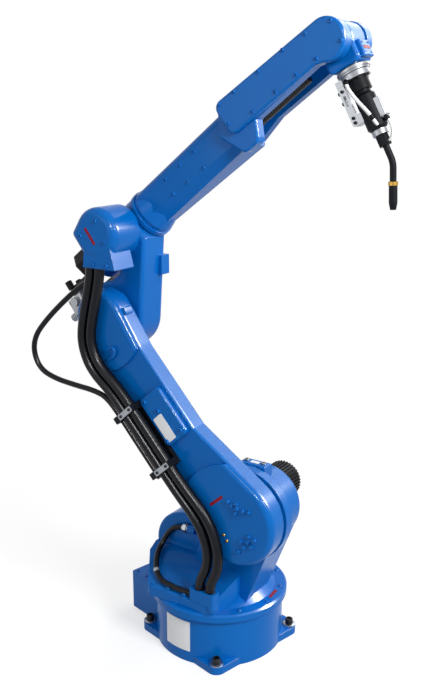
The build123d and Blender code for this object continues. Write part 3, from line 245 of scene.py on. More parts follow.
# %% Black finishes and the white sleeve
hose_pvc = grained(*new_finish("extruded_black_pvc", IOR=1.53, Specular_IOR_Level=0.16),
                   colours=("#07080D", "#0D1018"), patch_mm=60, gloss=(0.24, 0.36), grain_mm=4, rise_mm=0.12)
black_casing = grained(*new_finish("black_powder_coat", IOR=1.5, Specular_IOR_Level=0.16),
                       colours=("#08090D", "#0F1117"), patch_mm=80, gloss=(0.42, 0.56),
                       grain_mm=3, rise_mm=0.2, edge_mm=1.5)
black_oxide = grained(*new_finish("black_oxide_steel", metallic=0.7), colours=("#1B1C1E", "#2A2B2E"),
                      patch_mm=12, gloss=(0.35, 0.5), grain_mm=2, rise_mm=0.05)
white_sleeve = grained(*new_finish("white_silicone_sleeve", IOR=1.41), colours=("#E4E6E6", "#F0F1F0"),
                       patch_mm=20, gloss=(0.4, 0.55), grain_mm=3, rise_mm=0.1)
print(hose_pvc.name, black_casing.name, black_oxide.name, white_sleeve.name)

# %% [markdown]
# ## Bare metals
# The aluminium at the wrist and feeder is machined, zinc-plated screws are a little
# bluer, and the torch carries brass. A metal has no colour of its own under the
# reflection, so its base colour is the reflection's tint. A stretched noise could
# draw tool marks; from here they blur into a soft gloss, so an even grain does.

# %% Metals
bare_aluminium = grained(*new_finish("machined_aluminium", metallic=1.0), colours=("#8F9297", "#ABAEB2"),
                         patch_mm=30, gloss=(0.3, 0.44), grain_mm=3, rise_mm=0.08, edge_mm=1.0)
zinc_plate = grained(*new_finish("zinc_plated_steel", metallic=1.0), colours=("#8A8F96", "#A5AAB0"),
                     patch_mm=10, gloss=(0.25, 0.4), grain_mm=2, rise_mm=0.05)
brass = grained(*new_finish("turned_brass", metallic=1.0), colours=("#B08A3C", "#C9A253"),
                patch_mm=14, gloss=(0.22, 0.36), grain_mm=2, rise_mm=0.05)
print(bare_aluminium.name, zinc_plate.name, brass.name)

# %% [markdown]
# ## Sheets and films
# Plain white polyester plates and short strips of red vinyl film sit on the paint.
# Both are smooth and thin, and duller than the enamel round them. A mask in the
# enamel could paint them on; thin pieces of their own keep a crisp edge.

# %% Sheet finishes
white_plate = grained(*new_finish("matt_white_polyester_plate", IOR=1.55), colours=("#EEF1F4", "#F6F8F9"),
                      patch_mm=40, gloss=(0.4, 0.5), grain_mm=4, rise_mm=0.04)
red_film = grained(*new_finish("red_vinyl_film", IOR=1.5, Specular_IOR_Level=0.15),
                   colours=("#860C1F", "#9A1428"), patch_mm=20, gloss=(0.3, 0.42), grain_mm=4, rise_mm=0.04)
print(white_plate.name, red_film.name)

# %% [markdown]
# ## Dress the castings
# Every CAD node takes a finish by its own name, so that a change of mind about
# one piece touches one line. What isn't named is enamelled. The record's material
# slots could choose the finish, but one slot holds several looks here.

# %% Finishes on the CAD nodes
FINISH_NODES = {
    black_casing: ("shoulder_motor", "cable_tray", "roll_motor", "feeder_motor", "feeder_lever",
                   "torch_body", "torch_socket", "torch_neck", "torch_nozzle", "torch_sensor",
                   "cable_clamp_lower", "cable_clamp_upper"),
    hose_pvc: ("swivel_lead", "arm_conduit_front", "arm_conduit_rear", "arm_lead", "torch_conduit",
               "shoulder_conduit_front", "shoulder_conduit_rear", "elbow_conduit_front",
               "elbow_conduit_rear", "elbow_lead"),
    bare_aluminium: ("feeder_plate", "feeder_body", "tool_flange", "torch_adapter", "torch_bracket",
                     "torch_block", "torch_collar", "connector_panel"),
    brass: ("nozzle_ring", "contact_tip"),
}
node_finish = {node: finish for finish, nodes in FINISH_NODES.items() for node in nodes}
for node, cad_object in frame["nodes"].items():
    cad_object.data.materials.clear()
    cad_object.data.materials.append(node_finish.get(node, blue_enamel))
print("enamelled:", [node for node in frame["nodes"] if node not in node_finish])


# %% [markdown]
# ## Making a piece
# Each small thing is built as a mesh in the frame of the link that it sits on and
# then rides on that link's body. Screws and collars are turned: a half outline is
# spun round an axis, as on a lathe. A screw modifier could do that too, but here a
# ring of the outline may be a hexagon, which gives a socket head its key hole.

# %% Turned parts and finished pieces
TURN_STEPS = 24
HEX_STEP = pi / 3
ROUND, HEXAGON = False, True
PIECE_CREASE = 35


def add_turned(mesh, place, outline):
    """Spins (radius, height, form) rings in mm round place's Z axis; both ends close."""
    rings = []
    for radius, height, hexed in outline:
        ring = []
        for step in range(TURN_STEPS):
            turn = 2 * pi * step / TURN_STEPS
            reach = radius / cos(turn % HEX_STEP - HEX_STEP / 2) if hexed else radius
            point = Vector((reach * cos(turn), reach * sin(turn), height)) * MM
            ring.append(mesh.verts.new(place @ point))
        rings.append(ring)
    for low, high in zip(rings, rings[1:]):
        for step in range(TURN_STEPS):
            after = (step + 1) % TURN_STEPS
            mesh.faces.new((low[step], low[after], high[after], high[step]))
    mesh.faces.new(rings[0])
    mesh.faces.new(rings[-1])


def finish_piece(name, mesh, body, material, crease=PIECE_CREASE):
    """Turns the mesh into a named object that rides on a body; edges over crease degrees stay sharp."""
    data = bpy.data.meshes.new(name)
    bmesh.ops.recalc_face_normals(mesh, faces=mesh.faces)
    mesh.to_mesh(data)
    mesh.free()
    data.shade_smooth()
    data.set_sharp_from_angle(angle=radians(crease))
    data.materials.append(material)
    thing = bpy.data.objects.new(name, data)
    bpy.context.collection.objects.link(thing)
    if body:
        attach(thing, body)
    return thing


print("lathe ready:", TURN_STEPS, "steps a turn")

# %% [markdown]
# ## Placing a piece
# A matrix holds a place and the way that it faces. An empty object could do that as
# well, but a matrix adds nothing to the scene. On a link a piece faces the near side
# unless it is turned to another one. Spots on one face and rings of spots come up
# again and again, so each has its own function.

# %% Places on links
TO_AHEAD, TO_REAR = (Matrix.Rotation(turn, 4, "Y") for turn in (pi / 2, -pi / 2))
TO_BACK, TO_FRONT, TO_FAR = (Matrix.Rotation(turn, 4, "X") for turn in (pi / 2, -pi / 2, pi))


def on_link(link, along, across, near, turn=Matrix.Identity(4)):
    """A place on a link from millimetres; it faces the near side, or the side it is turned to."""
    return link @ Matrix.Translation(Vector((along, across, near)) * MM) @ turn


def on_face(link, face, spots):
    """Places on a link's near face from (along, across) spots."""
    return [on_link(link, along, across, face) for along, across in spots]


def on_ring(link, middle, radius, angles, turn=Matrix.Identity(4)):
    """Places at angles in degrees on a circle round a middle that faces the turned side."""
    centre = on_link(link, *middle, turn)
    spokes = [Vector((cos(radians(angle)), sin(radians(angle)), 0)) for angle in angles]
    return [centre @ Matrix.Translation(spoke * radius * MM) for spoke in spokes]


print("shoulder in the base frame:", tuple(round(v, 3) for v in LOWER_ARM.translation))


# %% [markdown]
# ## Screws
# A socket-head screw is a cylinder with a chamfered rim and a hexagonal hole. A
# button head is lower and domed. Screws could be instances of one mesh; a group of
# equal screws is one joined piece here, because nobody moves one screw of a cover
# by itself, and one piece exports as one mesh.

# %% Screw heads and groups
def socket_head(radius, height):
    """A cap screw's outline: wall, chamfer, face, key hole."""
    chamfer, key, key_floor = radius * 0.14, radius * 0.52, height * 0.4
    return ((radius, 0, ROUND), (radius, height - chamfer, ROUND), (radius - chamfer, height, ROUND),
            (key, height, HEXAGON), (key, key_floor, HEXAGON))


def button_head(radius, height):
    """A low domed screw's outline."""
    key, key_floor = radius * 0.42, height * 0.35
    return ((radius, 0, ROUND), (radius * 0.94, height * 0.5, ROUND), (radius * 0.74, height * 0.86, ROUND),
            (key * 1.2, height, ROUND), (key, height, HEXAGON), (key, key_floor, HEXAGON))


def hex_head(radius, height):
    """A painted hexagon bolt on its round flange."""
    flange, flat = radius * 1.25, radius * 0.92
    return ((flange, 0, ROUND), (flange, height * 0.25, ROUND), (flat, height * 0.3, HEXAGON),
            (flat, height * 0.92, HEXAGON), (radius * 0.7, height, ROUND))


def screw_group(name, body, places, outline, material):
    """One piece that holds every screw of a group."""
    mesh = bmesh.new()
    for place in places:
        add_turned(mesh, place, outline)
    return finish_piece(name, mesh, body, material)


print("a socket head has", len(socket_head(radius=8, height=8)), "rings")

# %% [markdown]
# ## Anchor bolts
# Four bolts through the square foot hold the arm to the floor, each with a thick
# bright washer under a black head. Washer and bolt could be one turned outline; they
# are two pieces because each has its own metal.

# %% Anchor bolts and washers
ANCHOR_SPACING, FOOT_TOP, WASHER_HEIGHT = 335, 26, 4
anchor_sides = (-ANCHOR_SPACING / 2, ANCHOR_SPACING / 2)
anchors = [on_link(BASE, x, y, FOOT_TOP) for x in anchor_sides for y in anchor_sides]
washer = ((22, 0, ROUND), (22, 3, ROUND), (20, WASHER_HEIGHT, ROUND), (0.5, WASHER_HEIGHT, ROUND))
screw_group("anchor_washers", "base", anchors, washer, zinc_plate)
screw_group("anchor_bolts", "base", [on_link(place, 0, 0, WASHER_HEIGHT) for place in anchors],
            socket_head(radius=13, height=18), black_oxide)
print("anchor bolts:", len(anchors))

# %% [markdown]
# ## Bolts on the shoulder disc and the arm
# The lower arm's disc is held to its gear by two groups of painted bolts, which
# stand on two arcs. They are sprayed together with the arm, so they are blue. An
# array round a circle could place them, but they stand unevenly, so each spot is
# written down, in millimetres along and across the arm from its shoulder.

# %% Lower arm bolts
DISC_FACE, PAD_FACE = 165, 172
upper_arc = ((59, -36), (42, -41), (27, -51), (10, -64), (-3, -81), (16, -36), (38, -60))
lower_arc = ((-62, 7), (-75, -14), (-82, -39), (-80, 7), (-92, -15), (-83, 38), (-62, -30))
disc_plugs = ((-17, 50), (-37, 53))
pad_corners = ((409, -8), (318, -42), (458, 18), (316, 28))
screw_group("shoulder_disc_bolts", "lower_arm", on_face(LOWER_ARM, DISC_FACE, upper_arc + lower_arc),
            hex_head(radius=6.5, height=7), blue_enamel)
screw_group("shoulder_disc_plugs", "lower_arm", on_face(LOWER_ARM, DISC_FACE, disc_plugs),
            button_head(radius=5, height=3), brass)
screw_group("arm_pad_screws", "lower_arm", on_face(LOWER_ARM, PAD_FACE, pad_corners),
            button_head(radius=8, height=6), blue_enamel)
print("disc bolts:", len(upper_arc + lower_arc))

# %% [markdown]
# ## Screws of the covers
# The forearm's side cover is a thin pressed lid on a flange, held by small screws
# all round its rim. Behind it the forearm's two faces spread slowly towards the
# fork, and the plugs there follow that slope. The elbow's cover has a few larger
# screws. A curve could carry the screws round a rim; a dozen spots are as easy to
# write, and each can be moved by itself.

# %% Cover screws
COVER_FACE, ELBOW_COVER_FACE = 97, 208
cover_rim = ((-352, 68), (-293, 67), (-200, 60), (-110, 57), (-34, 46), (39, 25), (34, -32), (-45, -24),
             (-115, -18), (-188, -15), (-276, -13), (-358, 8))
screw_group("forearm_cover_screws", "forearm", on_face(FOREARM, COVER_FACE, cover_rim),
            button_head(radius=6, height=3), blue_enamel)
FOREARM_ROOT, ROOT_FACE, FACE_SLOPE = 300, 62, 10 / 412
forearm_plugs = ((566, 28), (500, 28), (430, 28), (566, -28), (492, -26), (427, -24))
plug_faces = [(s, n, ROOT_FACE + (s - FOREARM_ROOT) * FACE_SLOPE) for s, n in forearm_plugs]
near_plugs = [on_link(ROLL, s, n, face) for s, n, face in plug_faces]
far_plugs = [on_link(ROLL, s, n, -face, TO_FAR) for s, n, face in plug_faces]
screw_group("forearm_face_plugs", "forearm", near_plugs + far_plugs,
            button_head(radius=6, height=3), blue_enamel)
elbow_cover_spots = ((228, 28), (214, -40), (150, 26), (135, -68), (178, -100))
screw_group("elbow_cover_screws", "elbow", on_face(ROLL, ELBOW_COVER_FACE, elbow_cover_spots),
            button_head(radius=7, height=4), blue_enamel)
print("cover screws:", len(cover_rim), "face plugs:", len(near_plugs + far_plugs))


# %% [markdown]
# ## Blank plates and red strips
# A plate is cut with rounded corners and stands a few tenths of a millimetre off
# the paint; here it is a little thicker, so that its edge catches the light. A
# bevelled box would round the edges that should stay sharp, so the outline is drawn
# and raised.

# %% Plates on flat faces
PLATE_THICKNESS = 0.8
CORNER_SIDES = ((1, 1), (-1, 1), (-1, -1), (1, -1))
CORNER_STEPS = 4


def rounded_outline(width, height, corner):
    """Corner points of a rounded rectangle about its middle, in mm."""
    points = []
    for quarter, (side_x, side_y) in enumerate(CORNER_SIDES):
        middle = Vector((side_x * (width / 2 - corner), side_y * (height / 2 - corner)))
        for step in range(CORNER_STEPS + 1):
            turn = pi / 2 * (quarter + step / CORNER_STEPS)
            points.append(middle + corner * Vector((cos(turn), sin(turn))))
    return points


def flat_plate(name, body, place, material, width, height, corner, thickness=PLATE_THICKNESS):
    """A rounded plate that lies on place's XY plane."""
    mesh = bmesh.new()
    outline = [point.to_3d() for point in rounded_outline(width, height, corner)]
    rise = Vector((0, 0, thickness))
    foot = [mesh.verts.new(place @ (point * MM)) for point in outline]
    raised = [mesh.verts.new(place @ ((point + rise) * MM)) for point in outline]
    for i, point in enumerate(foot):
        after = (i + 1) % len(foot)
        mesh.faces.new((point, foot[after], raised[after], raised[i]))
    mesh.faces.new(raised)
    mesh.faces.new(reversed(foot))
    return finish_piece(name, mesh, body, material)


flat_plate("arm_blank_plate", "lower_arm", on_link(LOWER_ARM, 354, 7, PAD_FACE), white_plate,
           width=88, height=40, corner=4)
flat_plate("shoulder_red_strip", "lower_arm", on_link(LOWER_ARM, 81, 0, DISC_FACE), red_film,
           width=9, height=58, corner=2)
flat_plate("elbow_red_strip", "elbow", on_link(ROLL, 181, 5, ELBOW_COVER_FACE), red_film,
           width=9, height=60, corner=2)
print("a plate's outline has", len(rounded_outline(width=88, height=40, corner=4)), "points")


# %% [markdown]
# ## Plates on round faces
# The sheet on the drum follows the drum's wall. A shrinkwrap modifier could press a
# flat plate on to it; the drum is a true cylinder, so the strip's points are worked
# out on that cylinder.

# %% Wrapped sheet
SHEET_STEPS = 16


def wrapped_sheet(name, body, place, material, radius, turn_from, turn_to, low, high):
    """A thin sheet on a cylinder about place's Z axis, angles in degrees and sizes in mm."""
    mesh = bmesh.new()
    outside = radius + PLATE_THICKNESS
    corners = ((radius, low), (outside, low), (outside, high), (radius, high))
    columns = []
    for step in range(SHEET_STEPS + 1):
        turn = radians(turn_from + (turn_to - turn_from) * step / SHEET_STEPS)
        around = Vector((cos(turn), sin(turn), 0))
        points = [(around * reach + UP * height) * MM for reach, height in corners]
        columns.append([mesh.verts.new(place @ point) for point in points])
    for first, second in zip(columns, columns[1:]):
        for i in range(len(corners)):
            after = (i + 1) % len(corners)
            mesh.faces.new((first[i], second[i], second[after], first[after]))
    mesh.faces.new(columns[0])
    mesh.faces.new(columns[-1])
    return finish_piece(name, mesh, body, material)


wrapped_sheet("drum_blank_sheet", "base", BASE, white_plate,
              radius=212, turn_from=-96, turn_to=-69, low=38, high=144)
print("drum sheet wrapped in", SHEET_STEPS, "steps")

# %% [markdown]
# ## Hoses and leads
# Two hoses and a thinner lead climb the arm. They are held in clamps on the lower
# arm, so between the clamps they are straight CAD rods, and past them they are
# smooth tubes in place of the CAD rods. Each curved stretch is a smooth NURBS line
# through its route, the same route that the CAD solid has. Blender reads the line's
# points back, and what lies along the line follows them.

# %% Routes and smooth lines
def arm_points(*route):
    """Route points (ahead, near, height) in mm, in the row frame."""
    return [(AHEAD * ahead + NEAR * near + UP * height) * MM for ahead, near, height in route]


def link_points(link, *route):
    """Route points (along, across, near) of a link in mm, in the row frame."""
    return [link @ (Vector(point) * MM) for point in route]


LINE_STEPS = 10


def smooth_line(name, points):
    """Points read from a NURBS line with the route as its control points."""
    curve = bpy.data.curves.new(name, "CURVE")
    curve.dimensions = "3D"
    spline = curve.splines.new("NURBS")
    spline.points.add(len(points) - 1)
    for control, point in zip(spline.points, points):
        control.co = (*point, 1.0)
    spline.order_u = 3
    spline.use_endpoint_u = True
    spline.resolution_u = LINE_STEPS
    holder = bpy.data.objects.new(name, curve)
    bpy.context.collection.objects.link(holder)
    bpy.context.view_layer.update()
    line = bpy.data.meshes.new_from_object(holder)
    path = [vertex.co.copy() for vertex in line.vertices]
    bpy.data.objects.remove(holder)
    bpy.data.meshes.remove(line)
    return path


def path_length(path):
    """The length of a line of points in metres."""
    return sum((b - a).length for a, b in zip(path, path[1:]))


print("smooth lines have", LINE_STEPS, "steps a span")

# %% [markdown]
# ## Tubes
# A hose or lead is a tube round its line. A bevelled curve would be quicker to make;
# a mesh tube has its ends closed. Each
# ring is turned on from the last one by the least angle, so the tube doesn't twist.

# %% Skin a tube round a line
TUBE_SIDES, TUBE_CREASE = 20, 80


def tube_mesh(path, radius):
    """Rings of points carried along a path without twisting, closed at both ends."""
    mesh = bmesh.new()
    along = (path[1] - path[0]).normalized()
    side = along.orthogonal().normalized()
    turns = [2 * pi * step / TUBE_SIDES for step in range(TUBE_SIDES)]
    rings = []
    for i, point in enumerate(path):
        ahead = (path[min(i + 1, len(path) - 1)] - path[max(i - 1, 0)]).normalized()
        side = (along.rotation_difference(ahead) @ side).normalized()
        along = ahead
        other = along.cross(side)
        rings.append([mesh.verts.new(point + (side * cos(t) + other * sin(t)) * radius * MM) for t in turns])
    for low, high in zip(rings, rings[1:]):
        for step in range(TUBE_SIDES):
            after = (step + 1) % TUBE_SIDES
            mesh.faces.new((low[step], low[after], high[after], high[step]))
    mesh.faces.new(rings[0])
    mesh.faces.new(rings[-1])
    return mesh


def tube_piece(name, path, radius, body, material):
    """A finished tube along a path."""
    return finish_piece(name, tube_mesh(path, radius), body, material, crease=TUBE_CREASE)


HOSE_RADIUS, LEAD_RADIUS = 16, 9
print("hose", 2 * HOSE_RADIUS, "mm, lead", 2 * LEAD_RADIUS, "mm")


# %% [markdown]
# ## Over the shoulder
# Both hoses leave the hose box on the swivel head straight up and bow out past the
# shoulder to the first clamp. Riding on one body, a hose would tear off the other
# when the joint turns. Here each hose rides on no body and stays where it is.

# %% The shoulder's two hoses
def bending_hose(node, route, radius):
    """A hose in place of a CAD rod; it rides on no body."""
    path = smooth_line(node + "_line", route)
    hose = tube_piece(node + "_hose", path, radius, None, hose_pvc)
    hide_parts(node)
    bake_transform(hose)
    print(hose.name, round(path_length(path), 3), "m")
    return hose, path


bending_hose("shoulder_conduit_rear", arm_points(
    (50, 188, 262), (50, 188, 288), (78, 188, 345.1), (80, 188, 410), (46, 188, 489), (-40.2, 188, 573.7),
    (-80.2, 188, 618.4)), HOSE_RADIUS)
bending_hose("shoulder_conduit_front", arm_points(
    (88, 188, 262), (88, 188, 288), (116, 188, 342.2), (119, 188, 417), (83, 188, 508.9), (-13.3, 188, 597.7),
    (-53.3, 188, 642.4)), HOSE_RADIUS)

# %% [markdown]
# ## Past the elbow
# From the last clamp the hoses swing out behind the elbow and go up into the open
# skirt of its cover. The bow gives them the spare length that the joint needs. They
# are made like those at the shoulder.

# %% The elbow's two hoses
bending_hose("elbow_conduit_rear", arm_points(
    (-242.6, 188, 800.1), (-282.6, 188, 844.9), (-371.6, 188, 911.5), (-404.6, 188, 989.2),
    (-399.6, 188, 1063.3), (-357, 188, 1215), (-357, 188, 1246)), HOSE_RADIUS)
bending_hose("elbow_conduit_front", arm_points(
    (-215.8, 188, 824.1), (-255.8, 188, 868.8), (-337.6, 188, 931.2), (-367.6, 188, 996.9),
    (-363.6, 188, 1059.2), (-321, 188, 1215), (-321, 188, 1246)), HOSE_RADIUS)

# %% [markdown]
# ## The free loop
# The welding lead hangs in a wide free loop from the upper clamp to the elbow. Its
# hang could be simulated, but so stiff a lead hardly sags: the loop is round, and its
# route says it all.

# %% The free loop of the welding lead
lead_route = arm_points(
    (-262, 188, 782.8), (-302, 188, 827.5), (-359.6, 188, 843), (-439.6, 188, 846.9), (-529.6, 188, 854.6),
    (-596.6, 188, 876.3), (-624.6, 188, 932.1), (-614.6, 186, 988.3), (-571.6, 178, 1043.7),
    (-504.6, 165, 1111.2), (-424.6, 155, 1177.8), (-352, 150, 1215), (-352, 150, 1246))
lead_loop, lead_path = bending_hose("elbow_lead", lead_route, LEAD_RADIUS)

# %% [markdown]
# ## The small lead behind the shoulder
# A lead leaves the hose box, makes an open loop behind the shoulder and enters the
# motor's cover through a metal gland. Both of its ends turn with the swivel head,
# so the whole lead rides on it. A metal band holds the end of its outer sleeve.

# %% Small lead, its gland nut and its band
def place_on_line(path, share):
    """A place part of the way along a line, facing along it."""
    i = int(share * (len(path) - 2))
    along = (path[i + 1] - path[i]).normalized()
    return Matrix.Translation(path[i]) @ along.to_track_quat("Z", "Y").to_matrix().to_4x4()


BAND_SHARE, BAND_HALF = 0.27, 6
small_lead_path = smooth_line("small_lead_line", arm_points(
    (20, 195, 238), (-78, 195, 238), (-124, 180, 250), (-156, 146, 272), (-174, 108, 294), (-174, 78, 316),
    (-156, 72, 353), (-118, 70, 384), (-76, 70, 384)))
small_lead = tube_piece("small_lead_hose", small_lead_path, LEAD_RADIUS, "swivel", hose_pvc)
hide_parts("swivel_lead")
gland_nut = ((9.2, 0, ROUND), (12, 2, ROUND), (12, 8, ROUND), (15, 9, HEXAGON), (15, 20, HEXAGON),
             (12.5, 21, ROUND), (12.5, 26, ROUND), (9, 26, ROUND))
screw_group("lead_gland_nut", "swivel", [on_link(SWIVEL, -100, 384, 70, TO_AHEAD)], gland_nut, zinc_plate)
band = ((9.1, -BAND_HALF, ROUND), (11, -BAND_HALF, ROUND), (11, BAND_HALF, ROUND), (9.1, BAND_HALF, ROUND))
screw_group("lead_clip", "swivel", [place_on_line(small_lead_path, BAND_SHARE)], band, zinc_plate)
print("small lead", round(path_length(small_lead_path), 3), "m")

# %% [markdown]
# ## Hose clamps
# Each clamp is a black saddle with a bright steel buckle across it. The saddle is in
# the CAD model, so only the bright parts are added: a thin plate and two screws,
# from the functions that make the other plates and screws.

# %% Clamp buckles
CLAMP_FACE, BUCKLE_THICKNESS, BUCKLE_MIDDLE, BUCKLE_SCREWS = 208, 2.5, 78, (56, 100)
CLAMP_MIDDLES = {"lower": 255, "upper": 465}
for which, along in CLAMP_MIDDLES.items():
    flat_plate(f"clamp_buckle_{which}", "lower_arm", on_link(LOWER_ARM, along, BUCKLE_MIDDLE, CLAMP_FACE),
               zinc_plate, width=18, height=66, corner=3, thickness=BUCKLE_THICKNESS)
clamp_spots = [(along, across) for along in CLAMP_MIDDLES.values() for across in BUCKLE_SCREWS]
screw_group("clamp_screws", "lower_arm", on_face(LOWER_ARM, CLAMP_FACE + BUCKLE_THICKNESS, clamp_spots),
            button_head(radius=5, height=4), black_oxide)
print("clamps:", len(CLAMP_MIDDLES))


# %% [markdown]
# ## The conduit in the forearm's slot
# The wire runs to the torch inside a conduit wound from steel strip. Its ribs show
# in the open slot. A bump would look flat against the slot's dark wall, so the ribs
# are turned one by one on the conduit's outline.

# %% Ribbed torch conduit
def ribbed_outline(core, crest, pitch, count, shape):
    """A tube's outline with ribs; shape gives where a rib rises, tops out, falls and ends."""
    outline = [(core, 0, ROUND)]
    for foot in range(0, count * pitch, pitch):
        outline += [(radius, foot + place, ROUND) for radius, place in zip((core, crest, crest, core), shape)]
    return outline


RIB_PITCH, CONDUIT_LENGTH, SLOT_BACK, CONDUIT_DROP = 9, 243, -370, -12
ribs = ribbed_outline(core=14.5, crest=17, pitch=RIB_PITCH, count=CONDUIT_LENGTH // RIB_PITCH,
                      shape=(1, 3, 6.5, 8.5))
torch_hose = screw_group("torch_ribbed_conduit", "forearm",
                         [on_link(FOREARM, SLOT_BACK, CONDUIT_DROP, 0, TO_AHEAD)],
                         ribs, black_oxide)
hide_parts("torch_conduit")
print("ribs:", CONDUIT_LENGTH // RIB_PITCH)

# %% [markdown]
# ## Screws of the torch
# A ring of screws holds the adapter to the flange, and two rows hold the bracket
# that carries the torch. They could be left out at this size, but small black heads
# tell the eye how big the torch is. Places are measured along the tool from the wrist.

# %% Torch screws
ADAPTER_FACE, SCREW_RING = 109, 33.5
BRACKET_NEAR_FACE, BRACKET_BACK_FACE, BRACKET_MIDDLE = 20, -54, -44
screw_group("adapter_screws", "tool",
            on_ring(TOOL, (ADAPTER_FACE, 0, 0), SCREW_RING, range(30, 360, 60), TO_AHEAD),
            socket_head(radius=3.5, height=4), black_oxide)
screw_group("bracket_side_screws", "tool",
            [on_link(TOOL, s, BRACKET_BACK_FACE, w, TO_BACK) for s in (122, 150) for w in (-9, 9)],
            socket_head(radius=5, height=7), black_oxide)
screw_group("bracket_near_screws", "tool",
            on_face(TOOL, BRACKET_NEAR_FACE, [(s, BRACKET_MIDDLE) for s in (122, 198, 211)]),
            socket_head(radius=4.5, height=4), black_oxide)
print("torch screws placed")

# %% [markdown]
# ## Leads of the torch
# A white sleeved lead leaves a plug on the adapter and enters the torch lower down,
# and a second, thinner hose brings gas to the front of the body. Small black plugs
# sit on their ends. They are tubes as the hoses are, and need no blend, because both
# ends are on the tool.

# %% Torch leads
WHITE_LEAD_RADIUS, GAS_HOSE_RADIUS = 5, 4
white_path = smooth_line("white_lead_line", link_points(
    TOOL, (104, -12, 30), (106, -14, 44), (128, -16, 46), (165, -8, 42), (200, 4, 38), (226, 10, 34),
    (244, 10, 22)))
gas_path = smooth_line("gas_hose_line", link_points(
    TOOL, (228, 26, 6), (236, 36, 8), (256, 40, 8), (278, 34, 6), (290, 22, 4), (292, 10, 2)))
tube_piece("torch_white_lead", white_path, WHITE_LEAD_RADIUS, "tool", white_sleeve)
tube_piece("torch_gas_hose", gas_path, GAS_HOSE_RADIUS, "tool", white_sleeve)
plug = ((5.2, -2, ROUND), (7.5, 0, ROUND), (7.5, 9, ROUND), (5.2, 12, ROUND))
plug_shares = ((white_path, 0.12), (white_path, 0.86), (gas_path, 0.1))
screw_group("torch_lead_plugs", "tool", [place_on_line(path, share) for path, share in plug_shares],
            plug, black_casing)
print("torch leads", round(path_length(white_path), 3), round(path_length(gas_path), 3), "m")

# %% [markdown]
# ## Marks and screws on the turntable and the wrist
# The turntable is screwed to its gear through the rim. These screws do stand evenly
# on one circle, so their angles are counted out and not written one by one. The red
# strips there and on the wrist's cap are plain film.

# %% Turntable and wrist
TABLE_FACE, RIM_RING, STRIP_INSET, STRIP_TURN = 189, 205, 8, 20
screw_group("table_screws", "swivel", on_ring(BASE, (0, 0, TABLE_FACE), RIM_RING, range(5, 365, 30)),
            button_head(radius=7, height=4), blue_enamel)
strip_turn = Matrix.Rotation(radians(STRIP_TURN), 4, "Z")
strip_place = strip_turn @ on_link(BASE, RIM_RING - STRIP_INSET, 0, TABLE_FACE)
flat_plate("table_red_strip", "swivel", strip_place, red_film, width=10, height=52, corner=2)
WRIST_CAP_FACE, WRIST_CAP_MIDDLE = 58.3, 49
flat_plate("wrist_red_strip", "wrist", on_link(TOOL, WRIST_CAP_MIDDLE, WRIST_CAP_FACE, 0, TO_FRONT), red_film,
           width=9, height=40, corner=2)
screw_group("wrist_cap_screws", "wrist",
            [on_link(TOOL, WRIST_CAP_MIDDLE + s, WRIST_CAP_FACE, w, TO_FRONT)
             for s in (-13, 13) for w in (-18, 18)],
            button_head(radius=3.5, height=2), blue_enamel)
print("turntable and wrist marked")

# %% [markdown]
# ## Stop block and motor covers
# The block on the shoulder stops the lower arm. Two bright screws hold it, with a
# bare plate between them. The motors' end covers have four screws each. All of them
# could be modelled by hand, but they are outlines from above in other sizes.

# %% Stop block and motor screws
STOP_FACE, STOP_NEAR, STOP_MIDDLE = 657, 27, 150
screw_group("stop_block_screws", "swivel",
            [on_link(SWIVEL, STOP_MIDDLE + s, STOP_FACE, STOP_NEAR, TO_FRONT) for s in (-30, 30)],
            socket_head(radius=8, height=6), zinc_plate)
flat_plate("stop_block_blank_plate", "swivel", on_link(SWIVEL, STOP_MIDDLE, STOP_FACE, STOP_NEAR, TO_FRONT),
           white_plate, width=30, height=16, corner=2)
CORNERS = (45, 135, 225, 315)
SHOULDER_MOTOR_END, ROLL_MOTOR_END = (150, 535, -170), (-72, 24, 0)
screw_group("shoulder_motor_screws", "swivel", on_ring(SWIVEL, SHOULDER_MOTOR_END, 40, CORNERS, TO_FAR),
            socket_head(radius=5, height=5), zinc_plate)
screw_group("roll_motor_screws", "elbow", on_ring(ROLL, ROLL_MOTOR_END, 30, CORNERS, TO_REAR),
            socket_head(radius=4, height=4), zinc_plate)
REAR_COVER_FACE, REAR_COVER_EDGE = 208, 234
screw_group("rear_cover_screws", "swivel",
            on_face(SWIVEL, REAR_COVER_FACE, [(s, REAR_COVER_EDGE) for s in (-124, -62, 2)]),
            button_head(radius=6, height=3), blue_enamel)
print("stop block and motors screwed down")

# %% [markdown]
# ## Connectors at the back of the base
# Round plugs go into the panel. Each socket gets a black insert with a ring of
# contact pins; the plate has a screw near each corner. Their places could be typed
# in, but the panel's own box gives its middle and corners, so they follow the panel.

# %% Connector panel
panel_low, panel_high = (Vector(corner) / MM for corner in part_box("connector_panel"))
panel_middle = (panel_low + panel_high) / 2
PANEL_BACK, SOCKET_BACK, SOCKET_STEP, PANEL_INSET = -308, -326, 62, 9
CONTACT_RINGS = ((12, 8), (5, 3))
socket_middles = [(SOCKET_BACK, panel_middle.y + step * SOCKET_STEP, panel_middle.z) for step in (-1, 0, 1)]
insert = ((19, 0, ROUND), (19, 1.2, ROUND), (17, 1.2, ROUND), (17, 0.4, ROUND), (0.5, 0.4, ROUND))
screw_group("socket_inserts", "base", [on_link(BASE, *middle, TO_REAR) for middle in socket_middles], insert,
            black_casing)
contact = ((2, 0.2, ROUND), (2, 2.6, ROUND), (1.4, 3, ROUND), (0.3, 3, ROUND))
contacts = [place for middle in socket_middles for radius, count in CONTACT_RINGS
            for place in on_ring(BASE, middle, radius, range(0, 360, 360 // count), TO_REAR)]
screw_group("socket_contacts", "base", contacts, contact, brass)
